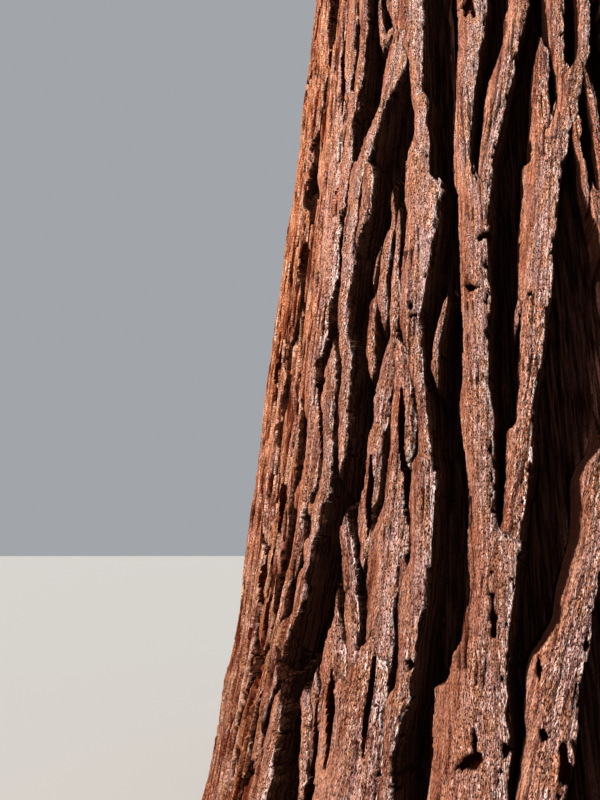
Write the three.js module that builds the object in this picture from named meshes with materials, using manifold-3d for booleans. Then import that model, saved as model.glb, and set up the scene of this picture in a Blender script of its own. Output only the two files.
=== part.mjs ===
// A giant sequoia: a mature tree, 65 m high and 4.1 m thick at breast height, scaled to 40 m.
// The trunk stands on a flat cut at ground level, flares into buttressed roots and tapers to the tip.
// Thick boughs leave it in a spiral, dip a little and turn up into rounded masses of foliage.
// Units are millimetres, +Z is up, and the origin is the centre of the flat cut.

import * as THREE from "three";
import { mergeVertices } from "three/addons/utils/BufferGeometryUtils.js";
import Module from "manifold-3d";

const wasm = await Module();
wasm.setup();

// Heights and sizes below are those of the real tree in metres. Times m they are model millimetres.
const REAL_HEIGHT = 65;
const MODEL_HEIGHT = 40000;
const m = MODEL_HEIGHT / REAL_HEIGHT;

// Gaps in model millimetres: between a bough and its mass, and round the trunk, measured level.
const CLEARANCE = 0.3;
const TRUNK_CLEARANCE = 0.8;

// Trunk: radius of the bark's crests at each height, from the flare to the tip.
const TRUNK_PROFILE = [
  [0, 2.42], [0.5, 2.24], [1.3, 2.09], [2.6, 1.99], [4, 1.87], [6.7, 1.66], [10, 1.5],
  [20, 1.34], [32, 1.14], [44, 0.86], [54, 0.5], [59, 0.24], [61.5, 0.07],
];
const TRUNK_TOP = TRUNK_PROFILE.at(-1)[0];
const TRUNK_ROWS = [
  0, 0.4, 1, 1.9, 3.2, 5, 7.4, 10.5, 14.5, 19.5, 25.5, 32, 38.5, 45, 51, 56, 59.5, TRUNK_TOP,
];
const LEAN_REACH = 0.45;
const LEAN_HEIGHT = 13;
const SWAY_REACH = 0.2;
const SWAY_HEIGHT = 18;

// Buttresses round the foot: [lobes round the trunk, share, phase], fading with height.
const LOBES = [[2, 0.2, 1], [3, 0.5, 0.6], [5, 0.35, 2.1], [7, 0.25, 4]];
const LOBE_BASE = 0.085;
const LOBE_ALWAYS = 0.025;
const LOBE_HEIGHT = 2.4;

// Main furrows of the bark. Each flute is a flat crest and a V-shaped furrow, no two alike.
const FLUTES = 26;
const FLUTE_CORNERS = [0, 0.52, 0.74];
const FURROW_CORNER = 2;
const FURROW_BASE = 0.15;
const FURROW_ALWAYS = 0.04;
const FURROW_HEIGHT = 9;
const FURROW_LIMIT = 0.3;
const FURROW_UNEVEN = 0.8;
const FLUTE_UNEVEN = 0.1;
const CREST_UNEVEN = 0.2;
const FLUTE_WANDER = 0.3;
const TRUNK_SEED = 11;

// Crown: the widest reach of the foliage from the trunk at each height.
const CROWN_PROFILE = [
  [20, 4.6], [24, 6.8], [29, 8.1], [34, 8.3], [41, 7.8], [48, 6.7], [55, 5.2], [60, 3.7],
  [63, 2.4], [65, 1],
];
const BOUGHS = 22;
const LOWEST_MASS = 23.5;
const HIGHEST_MASS = 54;
const MASS_CROWDING = 1.12;
const TUFTS = 6;
const LOWEST_TUFT = 55;
const HIGHEST_TUFT = 60.2;
const GOLDEN_ANGLE = Math.PI * (3 - Math.sqrt(5));
const BOUGH_SEED = 101;
const FOLIAGE_SEED = 501;

// A mass's half sizes, as shares of the crown's reach there: away from the trunk, sideways and up.
const MASS_SHARE = [0.34, 0.5, 0.44];
const TUFT_SHARE = [0.42, 0.56, 0.5];
const TOP_HALF_SIZE = [1.5, 1.5, 2.1];

// Boughs: where the tip enters its mass, as (out, side, up), and the curve that leads there. The
// lowest boughs leave almost level and dip, the highest climb.
const BOUGH_TIP = new THREE.Vector3(-0.55, 0, -0.5);
const BOUGH_ROOT_DEPTH = 0.5;
const BOUGH_RISE = 0.05;
const BOUGH_RISE_HIGHER = 0.5;
const BOUGH_DIP = 0.1;
const BOUGH_DIP_AT = 0.45;
const BOUGH_BEND = 0.3;
const BOUGH_BEND_HIGHER = 0.18;
const BOUGH_BEND_AT = 0.28;
const BOUGH_RADIUS = 0.1;
const BOUGH_RADIUS_PER_LENGTH = 0.05;
const BOUGH_TIP_RADIUS = 0.42;
const BOUGH_COLLAR = 0.35;
const BOUGH_COLLAR_LENGTH = 0.08;
const BOUGH_TURN_UNEVEN = 0.4;
const TUFT_TURN = 0.6;
const TUFT_STEM_DROP = 0.5;
const TUFT_STEM_CLIMB = 0.4;
const TUFT_STEM_RADIUS = 0.1;
const TOP_STEM_RADIUS = 0.06;

// Limbs inside a mass: one stem, and twigs that fork from its outer part.
const BOUGH_SIDES = 6;
const BOUGH_ROWS = 6;
const STEM_SIDES = 5;
const STEM_ROWS = 3;
const STEM_END = new THREE.Vector3(0.1, 0, 0.5);
const STEM_BEND_AT = 0.45;
const STEM_TAPER = 0.6;
const TWIG_SIDES = 3;
const TWIG_RADIUS = 0.42;
const TWIG_TAPER = 0.5;
const TWIGS_PER_MASS = 8;
const TWIG_REACH = 0.78;
const LOWEST_FORK = 0.6;

// Sprays, each rooted well inside on its twig, and the core that they stand out of. Reaches are
// shares of the mass's own size. A spray's width and thickness are shares of its length.
const SPRAY_FORK = 0.35;
const SPRAY_REACH = 0.98;
const SIDE_SPRAY_REACH = 0.92;
const SIDE_SPRAY_TURN = 0.5;
const SIDE_SPRAY_LIFT = 0.2;
const SIDE_SPRAY_EVERY = 4;
const SPRAY_WIDTH = 0.62;
const SPRAY_THICKNESS = 0.3;
const CORE_SHARE = 0.6;
const CORE_LUMPS = 0.3;
const LUMP_WAVES = new THREE.Vector3(4, 5, 4);
const SPACE_MARGIN = 0.03;
const FINEST_EDGE = 0.02;

const BARK = new THREE.MeshStandardMaterial({ color: 0xa85f3c, roughness: 0.95, metalness: 0 });
const LIMB = new THREE.MeshStandardMaterial({ color: 0x8a5238, roughness: 0.9, metalness: 0 });
const LEAF = new THREE.MeshStandardMaterial({ color: 0x5f7a45, roughness: 0.7, metalness: 0 });

// The same draws every time: a linear congruential generator, from 0 to 1.
function seededRandom(seed) {
  let state = seed >>> 0;
  return () => {
    state = (Math.imul(state, 1664525) + 1013904223) >>> 0;
    return state / 4294967296;
  };
}

// A smooth curve through [at, value] stations that never overshoots them.
function alongProfile(profile, at) {
  const last = profile.length - 1;
  if (at <= profile[0][0]) return profile[0][1];
  if (at >= profile[last][0]) return profile[last][1];
  const i = profile.findIndex(([station]) => station > at) - 1;
  const secant = (k) => {
    const [a, b] = [profile[k], profile[k + 1]];
    return (b[1] - a[1]) / (b[0] - a[0]);
  };
  const slope = (k) => {
    if (k === 0) return secant(0);
    if (k === last) return secant(last - 1);
    const [before, after] = [secant(k - 1), secant(k)];
    return before * after > 0 ? (2 * before * after) / (before + after) : 0;
  };
  const [x0, y0] = profile[i];
  const [x1, y1] = profile[i + 1];
  const span = x1 - x0;
  const t = (at - x0) / span;
  const hermite = 2 * t ** 3 - 3 * t ** 2 + 1;
  return (
    hermite * y0 + (t ** 3 - 2 * t ** 2 + t) * span * slope(i) +
    (1 - hermite) * y1 + (t ** 3 - t ** 2) * span * slope(i + 1)
  );
}

// Centre of the trunk at a real height: it leans a little and sways back.
function trunkAxis(height) {
  const x = LEAN_REACH * (1 - Math.exp(-height / LEAN_HEIGHT));
  const y = SWAY_REACH * Math.sin(height / SWAY_HEIGHT) * (height / REAL_HEIGHT);
  return new THREE.Vector3(x * m, y * m, height * m);
}

function crestRadius(height, angle) {
  const wave = LOBES.reduce((sum, [n, share, phase]) => sum + share * Math.cos(n * angle + phase), 0);
  const swell = LOBE_ALWAYS + LOBE_BASE * Math.exp(-height / LOBE_HEIGHT);
  return alongProfile(TRUNK_PROFILE, height) * (1 + wave * swell) * m;
}

function outward(angle) {
  return new THREE.Vector3(Math.cos(angle), Math.sin(angle), 0);
}

// A geometry as a solid, its shared vertices merged.
function solidOf(geometry) {
  const bare = geometry.clone();
  bare.deleteAttribute("normal");
  bare.deleteAttribute("uv");
  const merged = mergeVertices(bare, 1e-3);
  return new wasm.Manifold(
    new wasm.Mesh({
      numProp: 3,
      vertProperties: merged.getAttribute("position").array,
      triVerts: new Uint32Array(merged.index.array),
    }),
  );
}

function namedMesh(name, solid, material) {
  const made = solid.getMesh();
  const geometry = new THREE.BufferGeometry();
  geometry.setAttribute("position", new THREE.BufferAttribute(made.vertProperties, 3));
  geometry.setIndex(new THREE.BufferAttribute(made.triVerts, 1));
  geometry.computeVertexNormals();
  const mesh = new THREE.Mesh(geometry, material);
  mesh.name = name;
  return mesh;
}

// Moves each vertex of an upright unit cylinder to place(ring, column), or to centre(ring) on a cap.
function shapedCylinder(columns, rings, place, centre) {
  const geometry = new THREE.CylinderGeometry(1, 1, 1, columns, rings - 1, false, Math.PI / 2);
  geometry.rotateX(Math.PI / 2);
  const points = geometry.getAttribute("position");
  const at = new THREE.Vector3();
  for (let i = 0; i < points.count; i++) {
    at.fromBufferAttribute(points, i);
    const ring = Math.round((at.z + 0.5) * (rings - 1));
    const onAxis = Math.hypot(at.x, at.y) < 0.5;
    const turn = Math.atan2(at.y, at.x) / (2 * Math.PI);
    const column = (Math.round(turn * columns) + columns) % columns;
    const moved = onAxis ? centre(ring) : place(ring, column);
    points.setXYZ(i, moved.x, moved.y, moved.z);
  }
  return geometry;
}

// The trunk, with its crests and furrows. grown moves the whole surface out, to cut limbs clear of it.
function trunkSolid(grown = 0) {
  const random = seededRandom(TRUNK_SEED);
  const corners = FLUTE_CORNERS.length;
  const pitch = (2 * Math.PI) / FLUTES;
  const flutes = Array.from({ length: FLUTES }, () => ({
    shift: FLUTE_UNEVEN * (random() - 0.5),
    widening: 1 + CREST_UNEVEN * (random() - 0.5),
    depth: 1 + FURROW_UNEVEN * (random() - 0.5),
  }));
  const place = (ring, column) => {
    const height = TRUNK_ROWS[ring];
    const flute = Math.floor(column / corners);
    const corner = column % corners;
    const wander = FLUTE_WANDER * Math.sin(height / FURROW_HEIGHT + pitch * flute);
    const { shift, widening, depth } = flutes[flute];
    const angle = pitch * (flute + FLUTE_CORNERS[corner] * widening + shift + wander);
    const crest = crestRadius(height, angle);
    const fading = FURROW_ALWAYS + FURROW_BASE * Math.exp(-height / FURROW_HEIGHT);
    const furrow = Math.min(depth * fading * m, FURROW_LIMIT * crest);
    const radius = crest - (corner === FURROW_CORNER ? furrow : 0) + grown;
    return trunkAxis(height).addScaledVector(outward(angle), radius);
  };
  const centre = (ring) => trunkAxis(TRUNK_ROWS[ring]);
  return solidOf(shapedCylinder(FLUTES * corners, TRUNK_ROWS.length, place, centre));
}

// One tapering limb along a curve, its radius given at each share of its length.
function limbSolid(curve, radiusAt, sides, rings) {
  const frames = curve.computeFrenetFrames(rings - 1, false);
  const centre = (ring) => curve.getPoint(ring / (rings - 1));
  const place = (ring, column) => {
    const turn = (2 * Math.PI * column) / sides;
    const radius = radiusAt(ring / (rings - 1));
    return centre(ring)
      .addScaledVector(frames.normals[ring], radius * Math.cos(turn))
      .addScaledVector(frames.binormals[ring], radius * Math.sin(turn));
  };
  return solidOf(shapedCylinder(sides, rings, place, centre));
}

// A spray of foliage: a flat spindle of eight faces from its root to its tip.
function spraySolid(root, tip, roll) {
  const along = tip.clone().sub(root);
  const length = along.length();
  const geometry = new THREE.OctahedronGeometry(1, 0);
  geometry.scale(length * SPRAY_WIDTH * 0.5, length * SPRAY_THICKNESS * 0.5, length * 0.5);
  geometry.rotateZ(roll);
  const turned = new THREE.Quaternion().setFromUnitVectors(new THREE.Vector3(0, 0, 1), along.normalize());
  geometry.applyQuaternion(turned);
  geometry.translate((root.x + tip.x) / 2, (root.y + tip.y) / 2, (root.z + tip.z) / 2);
  return solidOf(geometry);
}

// The space of one mass: an ellipsoid with one axis pointing away from the trunk.
class MassSpace {
  constructor(centre, angle, halfSize) {
    this.centre = centre;
    this.out = outward(angle);
    this.side = new THREE.Vector3(-this.out.y, this.out.x, 0);
    this.halfSize = halfSize;
  }

  // The point that a direction of (out, side, up) reaches at a share of the space's size.
  point(direction, share) {
    const [out, side, up] = this.halfSize;
    return this.centre
      .clone()
      .addScaledVector(this.out, direction.x * out * share)
      .addScaledVector(this.side, direction.y * side * share)
      .add(new THREE.Vector3(0, 0, direction.z * up * share));
  }

  // 0 at the centre and 1 on the surface.
  depth(point) {
    const offset = point.clone().sub(this.centre);
    const [out, side, up] = this.halfSize;
    return Math.hypot(offset.dot(this.out) / out, offset.dot(this.side) / side, offset.z / up);
  }
}

// The space of a mass at a real height, its outer side on the crown's outline.
function massSpaceAt(height, angle, shares) {
  const reach = alongProfile(CROWN_PROFILE, height);
  const halfSize = shares.map((share) => share * reach * m);
  const centre = trunkAxis(height).addScaledVector(outward(angle), reach * m - halfSize[0] * SPRAY_REACH);
  return new MassSpace(centre, angle, halfSize);
}

// Directions spread evenly over a sphere, in (out, side, up) of a mass. The first is straight up.
function evenDirection(index, count, turn) {
  const up = 1 - (2 * index) / (count - 0.5);
  const flat = Math.sqrt(1 - up * up);
  const angle = index * GOLDEN_ANGLE + turn;
  return new THREE.Vector3(flat * Math.cos(angle), flat * Math.sin(angle), up);
}

// The point inside the trunk that a limb grows out from.
function limbRoot(height, angle) {
  const depth = BOUGH_ROOT_DEPTH * crestRadius(height, angle);
  return trunkAxis(height).addScaledVector(outward(angle), depth);
}

// A bough's curve: out of the trunk, a slight dip, then up into the underside of its mass.
function boughCurve(space, angle, share) {
  const tip = space.point(BOUGH_TIP, 1);
  const run = tip.clone().sub(trunkAxis(tip.z / m));
  const length = Math.hypot(run.x, run.y);
  const start = limbRoot((tip.z - (BOUGH_RISE + BOUGH_RISE_HIGHER * share) * length) / m, angle);
  const dip = start.clone().addScaledVector(outward(angle), BOUGH_DIP_AT * length);
  dip.z -= BOUGH_DIP * (1 - share) * length;
  const bend = tip.clone().addScaledVector(outward(angle), -BOUGH_BEND_AT * length);
  bend.z -= (BOUGH_BEND + (BOUGH_BEND_HIGHER - BOUGH_BEND) * share) * length;
  return new THREE.CubicBezierCurve3(start, dip, bend, tip);
}

// The stem of a mass starts a hair beyond what carries it and grows on through the middle.
function stemCurve(start, direction, space) {
  const end = space.point(STEM_END, 1);
  const bend = start.clone().addScaledVector(direction, STEM_BEND_AT * start.distanceTo(end));
  return new THREE.QuadraticBezierCurve3(start, bend, end);
}

function overlaps(solid, others) {
  const box = solid.boundingBox();
  const near = (other) => {
    const at = other.boundingBox();
    return [0, 1, 2].every((k) => at.min[k] < box.max[k] && at.max[k] > box.min[k]);
  };
  return others.some((other) => near(other) && solid.intersect(other).volume() > 0);
}

function insideSpace(solid, space, otherSpaces) {
  const { vertProperties, numVert } = solid.getMesh();
  for (let i = 0; i < numVert; i++) {
    const at = new THREE.Vector3().fromArray(vertProperties, 3 * i);
    const own = space.depth(at);
    if (own > 1 || otherSpaces.some((other) => other.depth(at) < own + SPACE_MARGIN)) return false;
  }
  return true;
}

// The dense middle of a mass, a lumpy ball in the shape of its space.
function coreSolid(space, phase) {
  const geometry = new THREE.DodecahedronGeometry(1, 0);
  const points = geometry.getAttribute("position");
  const at = new THREE.Vector3();
  for (let i = 0; i < points.count; i++) {
    at.fromBufferAttribute(points, i).normalize();
    const wave = at.clone().multiply(LUMP_WAVES);
    const lumps = Math.cos(wave.x + phase) + Math.cos(wave.y + 2 * phase) + Math.cos(wave.z - phase);
    const moved = space.point(at, CORE_SHARE * (1 + (CORE_LUMPS * lumps) / 3));
    points.setXYZ(i, moved.x, moved.y, moved.z);
  }
  return solidOf(geometry);
}

// One mass: a stem, twigs that branch from it towards even directions, sprays on them and a small core.
function foliageSolid(space, stem, stemRadius, seed, otherSpaces, obstacles) {
  const random = seededRandom(seed);
  const fits = (solid) => insideSpace(solid, space, otherSpaces) && !overlaps(solid, obstacles);
  const stemRadii = (along) => stemRadius * (1 - STEM_TAPER * along);
  const twigRadii = (along) => stemRadius * TWIG_RADIUS * (1 - TWIG_TAPER * along);
  const parts = [limbSolid(stem, stemRadii, STEM_SIDES, STEM_ROWS)];
  const turn = 2 * Math.PI * random();
  for (let i = 0; i < TWIGS_PER_MASS; i++) {
    const direction = evenDirection(i, TWIGS_PER_MASS, turn);
    const fork = LOWEST_FORK + (1 - LOWEST_FORK) * random();
    const twig = new THREE.LineCurve3(stem.getPoint(fork), space.point(direction, TWIG_REACH));
    const wood = limbSolid(twig, twigRadii, TWIG_SIDES, 2);
    if (!fits(wood)) continue;
    parts.push(wood);
    const roll = Math.PI * random();
    const sprayRoot = twig.getPoint(SPRAY_FORK);
    const end = spraySolid(sprayRoot, space.point(direction, SPRAY_REACH), roll);
    if (fits(end)) parts.push(end);
    if (i % SIDE_SPRAY_EVERY !== 1) continue;
    const sideways = new THREE.Vector3(-direction.y, direction.x, SIDE_SPRAY_LIFT).normalize();
    const hand = random() < 0.5 ? 1 : -1;
    const aim = direction.clone().addScaledVector(sideways, hand * SIDE_SPRAY_TURN).normalize();
    const spray = spraySolid(sprayRoot, space.point(aim, SIDE_SPRAY_REACH), roll + hand);
    if (fits(spray)) parts.push(spray);
  }
  parts.push(coreSolid(space, 2 * Math.PI * random()));
  return largestPiece(wasm.Manifold.union(parts));
}

// The largest body of a join, without its finest slivers, loose scraps or sealed hollows.
function largestPiece(solid) {
  const bodies = solid.simplify(FINEST_EDGE).decompose().filter((body) => body.volume() > 0);
  return bodies.reduce((best, body) => (body.volume() > best.volume() ? body : best));
}

function twoDigits(index) {
  return String(index + 1).padStart(2, "0");
}

const tree = new THREE.Group();
const trunk = trunkSolid();
const grownTrunk = trunkSolid(TRUNK_CLEARANCE);
tree.add(namedMesh("trunk", trunk, BARK));

// Boughs, lowest first, each with its mass of foliage.
const limbs = [];
const masses = [];
for (let i = 0; i < BOUGHS; i++) {
  const share = i / (BOUGHS - 1);
  const random = seededRandom(BOUGH_SEED + i);
  const height = LOWEST_MASS + (HIGHEST_MASS - LOWEST_MASS) * share ** MASS_CROWDING;
  const angle = i * GOLDEN_ANGLE + BOUGH_TURN_UNEVEN * (random() - 0.5);
  const space = massSpaceAt(height, angle, MASS_SHARE);
  const curve = boughCurve(space, angle, share);
  const root = BOUGH_RADIUS * m + BOUGH_RADIUS_PER_LENGTH * curve.getLength();
  const tip = BOUGH_TIP_RADIUS * root;
  const collar = (along) => BOUGH_COLLAR * root * Math.exp(-along / BOUGH_COLLAR_LENGTH);
  const radii = (along) => root + (tip - root) * along + collar(along);
  const bough = largestPiece(limbSolid(curve, radii, BOUGH_SIDES, BOUGH_ROWS).subtract(grownTrunk));
  limbs.push(bough);
  tree.add(namedMesh(`bough_${twoDigits(i)}`, bough, LIMB));
  const direction = curve.getTangent(1);
  const start = curve.getPoint(1).addScaledVector(direction, CLEARANCE);
  masses.push({ name: `foliage_${twoDigits(i)}`, space, start, direction, stemRadius: tip });
}

// Tufts that grow straight from the upper trunk.
for (let i = 0; i < TUFTS; i++) {
  const height = LOWEST_TUFT + ((HIGHEST_TUFT - LOWEST_TUFT) * i) / (TUFTS - 1);
  const angle = (BOUGHS + i) * GOLDEN_ANGLE + TUFT_TURN;
  const space = massSpaceAt(height, angle, TUFT_SHARE);
  const start = limbRoot(height - TUFT_STEM_DROP, angle);
  const direction = outward(angle).setZ(TUFT_STEM_CLIMB).normalize();
  const name = `foliage_${twoDigits(BOUGHS + i)}`;
  masses.push({ name, space, start, direction, stemRadius: TUFT_STEM_RADIUS * m });
}

// The mass that ends the trunk and reaches the full height.
const topCentre = trunkAxis(REAL_HEIGHT - TOP_HALF_SIZE[2] * SPRAY_REACH);
masses.push({
  name: "foliage_top",
  space: new MassSpace(topCentre, 0, TOP_HALF_SIZE.map((size) => size * m)),
  start: trunkAxis(TRUNK_TOP).add(new THREE.Vector3(0, 0, CLEARANCE)),
  direction: new THREE.Vector3(0, 0, 1),
  stemRadius: TOP_STEM_RADIUS * m,
});

const grown = [];
masses.forEach(({ name, space, start, direction, stemRadius }, i) => {
  const otherSpaces = masses.filter((other) => other.space !== space).map((other) => other.space);
  const stem = stemCurve(start, direction, space);
  const obstacles = [grownTrunk, ...limbs, ...grown];
  const mass = foliageSolid(space, stem, stemRadius, FOLIAGE_SEED + i, otherSpaces, obstacles);
  const clear = largestPiece(mass.subtract(grownTrunk));
  grown.push(clear);
  tree.add(namedMesh(name, clear, LEAF));
});

export default tree;
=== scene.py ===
"""A giant sequoia: its furrowed bark, its limbs and its foliage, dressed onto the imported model.

Real sizes are those of the living tree, in metres, 65 m high. Times K they are the model's metres.
"""

import math
from dataclasses import dataclass, field
from types import SimpleNamespace

import bpy
import numpy as np
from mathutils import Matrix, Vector


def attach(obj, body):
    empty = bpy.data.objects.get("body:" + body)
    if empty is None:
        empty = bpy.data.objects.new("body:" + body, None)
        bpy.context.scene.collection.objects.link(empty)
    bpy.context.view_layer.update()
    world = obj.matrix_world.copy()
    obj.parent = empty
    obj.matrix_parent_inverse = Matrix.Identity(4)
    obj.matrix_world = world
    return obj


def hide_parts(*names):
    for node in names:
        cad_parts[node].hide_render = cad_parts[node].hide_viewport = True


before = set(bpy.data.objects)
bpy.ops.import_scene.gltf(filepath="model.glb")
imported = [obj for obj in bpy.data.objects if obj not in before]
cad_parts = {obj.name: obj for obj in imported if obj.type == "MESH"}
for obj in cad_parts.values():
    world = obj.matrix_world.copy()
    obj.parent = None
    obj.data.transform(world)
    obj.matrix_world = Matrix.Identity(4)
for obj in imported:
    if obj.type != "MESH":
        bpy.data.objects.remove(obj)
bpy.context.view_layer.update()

K = 40 / 65
FULL_TURN = 2 * math.pi
GOLDEN_ANGLE = math.pi * (3 - math.sqrt(5))
UP = np.array([0.0, 0.0, 1.0])

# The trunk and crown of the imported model, in real metres.
TRUNK_PROFILE = [
    (0, 2.42), (0.5, 2.24), (1.3, 2.09), (2.6, 1.99), (4, 1.87), (6.7, 1.66), (10, 1.5),
    (20, 1.34), (32, 1.14), (44, 0.86), (54, 0.5), (59, 0.24), (61.5, 0.07),
]
TREE_HEIGHT = 65
TRUNK_TOP = 61.5
LEAN_REACH, LEAN_HEIGHT = 0.45, 13
SWAY_REACH, SWAY_HEIGHT = 0.2, 18
LOBES = [(2, 0.2, 1), (3, 0.5, 0.6), (5, 0.35, 2.1), (7, 0.25, 4)]
LOBE_BASE, LOBE_ALWAYS, LOBE_HEIGHT = 0.085, 0.025, 2.4
CROWN_PROFILE = [
    (20, 4.6), (24, 6.8), (29, 8.1), (34, 8.3), (41, 7.8), (48, 6.7), (55, 5.2), (60, 3.7),
    (63, 2.4), (65, 1),
]

# The camera, at a standing eye height, and the photo's frame in pixels.
EYE = np.array([-1.63, -4.47, 1.6])
PITCH = math.radians(14.5)
SIGHT_STEPS = (1.5, 9, 0.01)
PHOTO_WIDTH, PHOTO_HEIGHT = 600, 800
FOCAL_PIXELS = 601
SENSOR = 36

# Bark, where the trunk is 2 m in radius. Depth, wall and raggedness shrink with the trunk.
REFERENCE_RADIUS = 2.0
CREST_INSET = 0.03
FURROW_DEPTH = 0.22
WALL = 0.026
NARROW_WALL, WIDE_HALF, LEFT_WALL = 0.42, 0.07, 0.6
RAGGED_HALF, LEAST_RAGGED = 0.07, 0.15
TOP_EDGE = 0.01
LANES = 46
END_RUN, END_SINK, END_FADE, END_BELOW = 0.28, 0.12, 0.2, 1.05
NOTCH, PROTRUSION = 0.16, 0.003
WALL_CURVE = 1.5
RIGHT_FRAY, LEFT_FRAY = 1.8, 0.5
FLANK_START, FLANK_END, FLANK_EDGE = math.radians(160), math.radians(222), math.radians(15)
FLANK_FADES_FROM, FLANK_FADES_OVER, FLANK_ABOVE = 6.5, 7, 0.25
FLANK_SHALLOWER, FLANK_STEEPER = 0.3, 0.2
FOOT_INSET, FOOT_HEIGHT = 0.12, 0.85

# Patterns laid round the trunk: the real width and length of their cells, and their seed.
TRUNK_PATTERNS = {
    "fray": (0.03, 0.1, 31),
    "fine_fray": (0.012, 0.028, 32),
    "wall": (0.2, 0.8, 33),
    "shard_sway": (0.08, 0.16, 34),
    "uneven": (0.035, 0.09, 36),
    "back_sway": (0.2, 0.7, 37),
    "swells": (0.25, 0.9, 44),
    "depth": (0.5, 1.5, 45),
    "flank_swells": (0.1, 0.4, 50),
    "hole_edges": (0.028, 0.03, 51),
}

# Patterns that follow the grain, given in the same way.
GRAIN_PATTERNS = {
    "fibres": (0.011, 0.1, 42),
    "scales": (0.012, 0.026, 43),
    "wander": (0.12, 0.4, 46),
    "fine_wander": (0.04, 0.1, 47),
    "holes": (0.014, 0.035, 49),
}

# Chips of bark, given in the same way, and the share of each that narrows to a point.
CHIPS = {
    "shards": (0.02, 0.1, 35, 0.0),
    "backs": (0.06, 0.9, 38, 0.2),
    "strips": (0.036, 0.5, 41, 0.3),
    "flakes": (0.021, 0.17, 48, 0.35),
}
CHIP_LENGTHS = (0.7, 1.3)
CHIP_POINT, CHIP_CRACK = 0.28, 0.16

# How far the patterns stand out or go in, in real metres.
FRAY, FINE_FRAY, SHARD_FRAY, UNEVEN = 0.003, 0.006, 0.007, 0.014
STRIP_STEP, FLANK_STEP, EDGE_STEP = 0.006, 0.007, 0.008
CRACK_DEPTH, FLANK_CRACK_DEPTH = 0.012, 0.02
FINE_RELIEF, SWELL_RELIEF, GAP_DEPTH, HOLE_DEPTH = 0.0025, 0.004, 0.004, 0.035
LEAST_DEPTH = 0.02

# How uneven the walls, the depth and the holes are, how patterns wander, and where shapes are rounded.
SHARD_SWAY, BACK_SWAY, WANDER, FINE_WANDER, STRIP_WANDER = 0.012, 0.03, 0.008, 0.003, 1.5
WALL_UNEVEN, DEPTH_UNEVEN, FLANK_SWELLS, WALL_REACH = 0.35, 0.3, 3.5, 2.2
CREST_ROUNDING, LEAST_ROUNDED, LEAST_ACROSS = 0.15, 0.02, 0.015
FLOOR_CHIP, FLOOR_CHIP_UNEVEN = 0.13, 0.1
HOLE_UNEVEN, HOLE_REACH, HOLE_CORE, HALF_CENTIMETRE = 0.6, 1.15, 0.8, 0.005
RIDGE_SHIFT, PATTERN_SHIFT = 0.73, 37

# Photographed ridges beyond the photo: down to the ground, and up until they fade out.
LEAST_HALF, PHOTO_RIDGE_DEPTH = 0.002, 0.025
BELOW_GROUND, FOOT_SWEEP, FOOT_SPREAD = 0.1, 0.6, 1.3
ABOVE_PHOTO, ABOVE_CLIMBS, ABOVE_SWAY, ABOVE_END = ((1.2, 0.9), (2.2, 0.7)), (0.7, 1.3), 0.05, 1.2

# Ridges outside the photo's view, by a seeded rule: real metres, and shares of a lane.
LANE_SEED, LOOSE_SEED, SHARD_SEED = 1000, 7, 5000
RIDGE_LENGTHS, RIDGE_OVERLAPS, RIDGE_BREADTHS = (3, 8.5), (1.1, 1.7), (0.5, 0.8)
STRONG_LEAN, SLIGHT_LEAN, STRONG_CHANCE = 1.7, 0.6, 0.35
LANE_DRIFT, RIDGE_DRIFT, RIDGE_SWAY = 0.3, 0.35, 0.16
RIDGE_STATIONS, RIDGE_UNEVEN = 7, (0.75, 1.25)
LOWEST_START, START_STAGGER, SECTOR_STAGGER = -0.4, 3, 0.8
DEEPEST_RIDGE = 0.2

# Loose shards beside those ridges, up to a real height.
SHARD_TOP = 26
SHARD_SPACING, SHARD_SPREAD, SHARD_CLEARANCE = 0.9, (0.4, 1.6), 0.3
SHARD_LEAST, SHARD_MORE, SHARD_CROWDING = 0.25, 1.1, 1.5
SHARD_GAPS, SHARD_HALVES, SHARD_DEPTHS = (0.012, 0.062), (0.008, 0.028), (0.08, 0.48)
SHARD_DRIFT, SHARD_INWARD = 0.05, 0.4
SHARD_NUMBERS = 1000
SHARD_STATIONS = np.array([0, 0.3, 0.65, 1])
SHARD_BREADTHS = np.array([0, 1, 0.9, 0])
SHARDS_RIGHT = 0.62

# Rows and columns of points on the bark: the photographed front, a quick front, the back and what is above.
FRONT_GRID, QUICK_FRONT_GRID, BACK_GRID, UPPER_GRID = (700, 700), (350, 350), (320, 400), (560, 501)
BACK_OVERLAP, UPPER_OVERLAP, UPPER_CROWDING = 0.004, 0.02, 1.35

# The sector of the trunk that the photo shows, and the height that it shows it to.
SECTOR_START, SECTOR_END = math.radians(183), math.radians(261)
SECTOR_TOP = 6.2
FRONT_START, FRONT_END = math.radians(168), math.radians(267)
FRONT_TOP = 7.2

# Holes and notches in the ridges: the photo's column and row, and the width and length in real centimetres.
PHOTO_HOLES = {
    "top_notch": (469, 4, 8, 15),
    "upper_pit": (468, 51, 1.6, 2),
    "middle_hole": (483, 236, 8, 5),
    "middle_hole_lower": (471, 287, 5, 3.5),
    "middle_slit": (493, 618, 2.2, 18),
    "base_hole": (475, 760, 3, 6),
    "base_hole_left": (469, 766, 6, 2.6),
    "base_hole_end": (461, 769, 4, 1.4),
    "base_slit": (475, 745, 1.5, 12),
    "base_side": (505, 753, 2.5, 3),
    "corner_slit": (539, 667, 1.2, 11),
    "corner_hole": (543, 733, 3.2, 3.8),
    "corner_end": (565, 768, 4, 16),
    "right_hole": (531, 294, 2, 2),
    "fork_hole": (392, 92, 1.6, 3),
    "fork_pit": (411, 306, 3.5, 4),
    "fork_pit_lower": (413, 316, 5, 2.5),
    "fork_low_hole": (411, 664, 2.6, 3),
}

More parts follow.
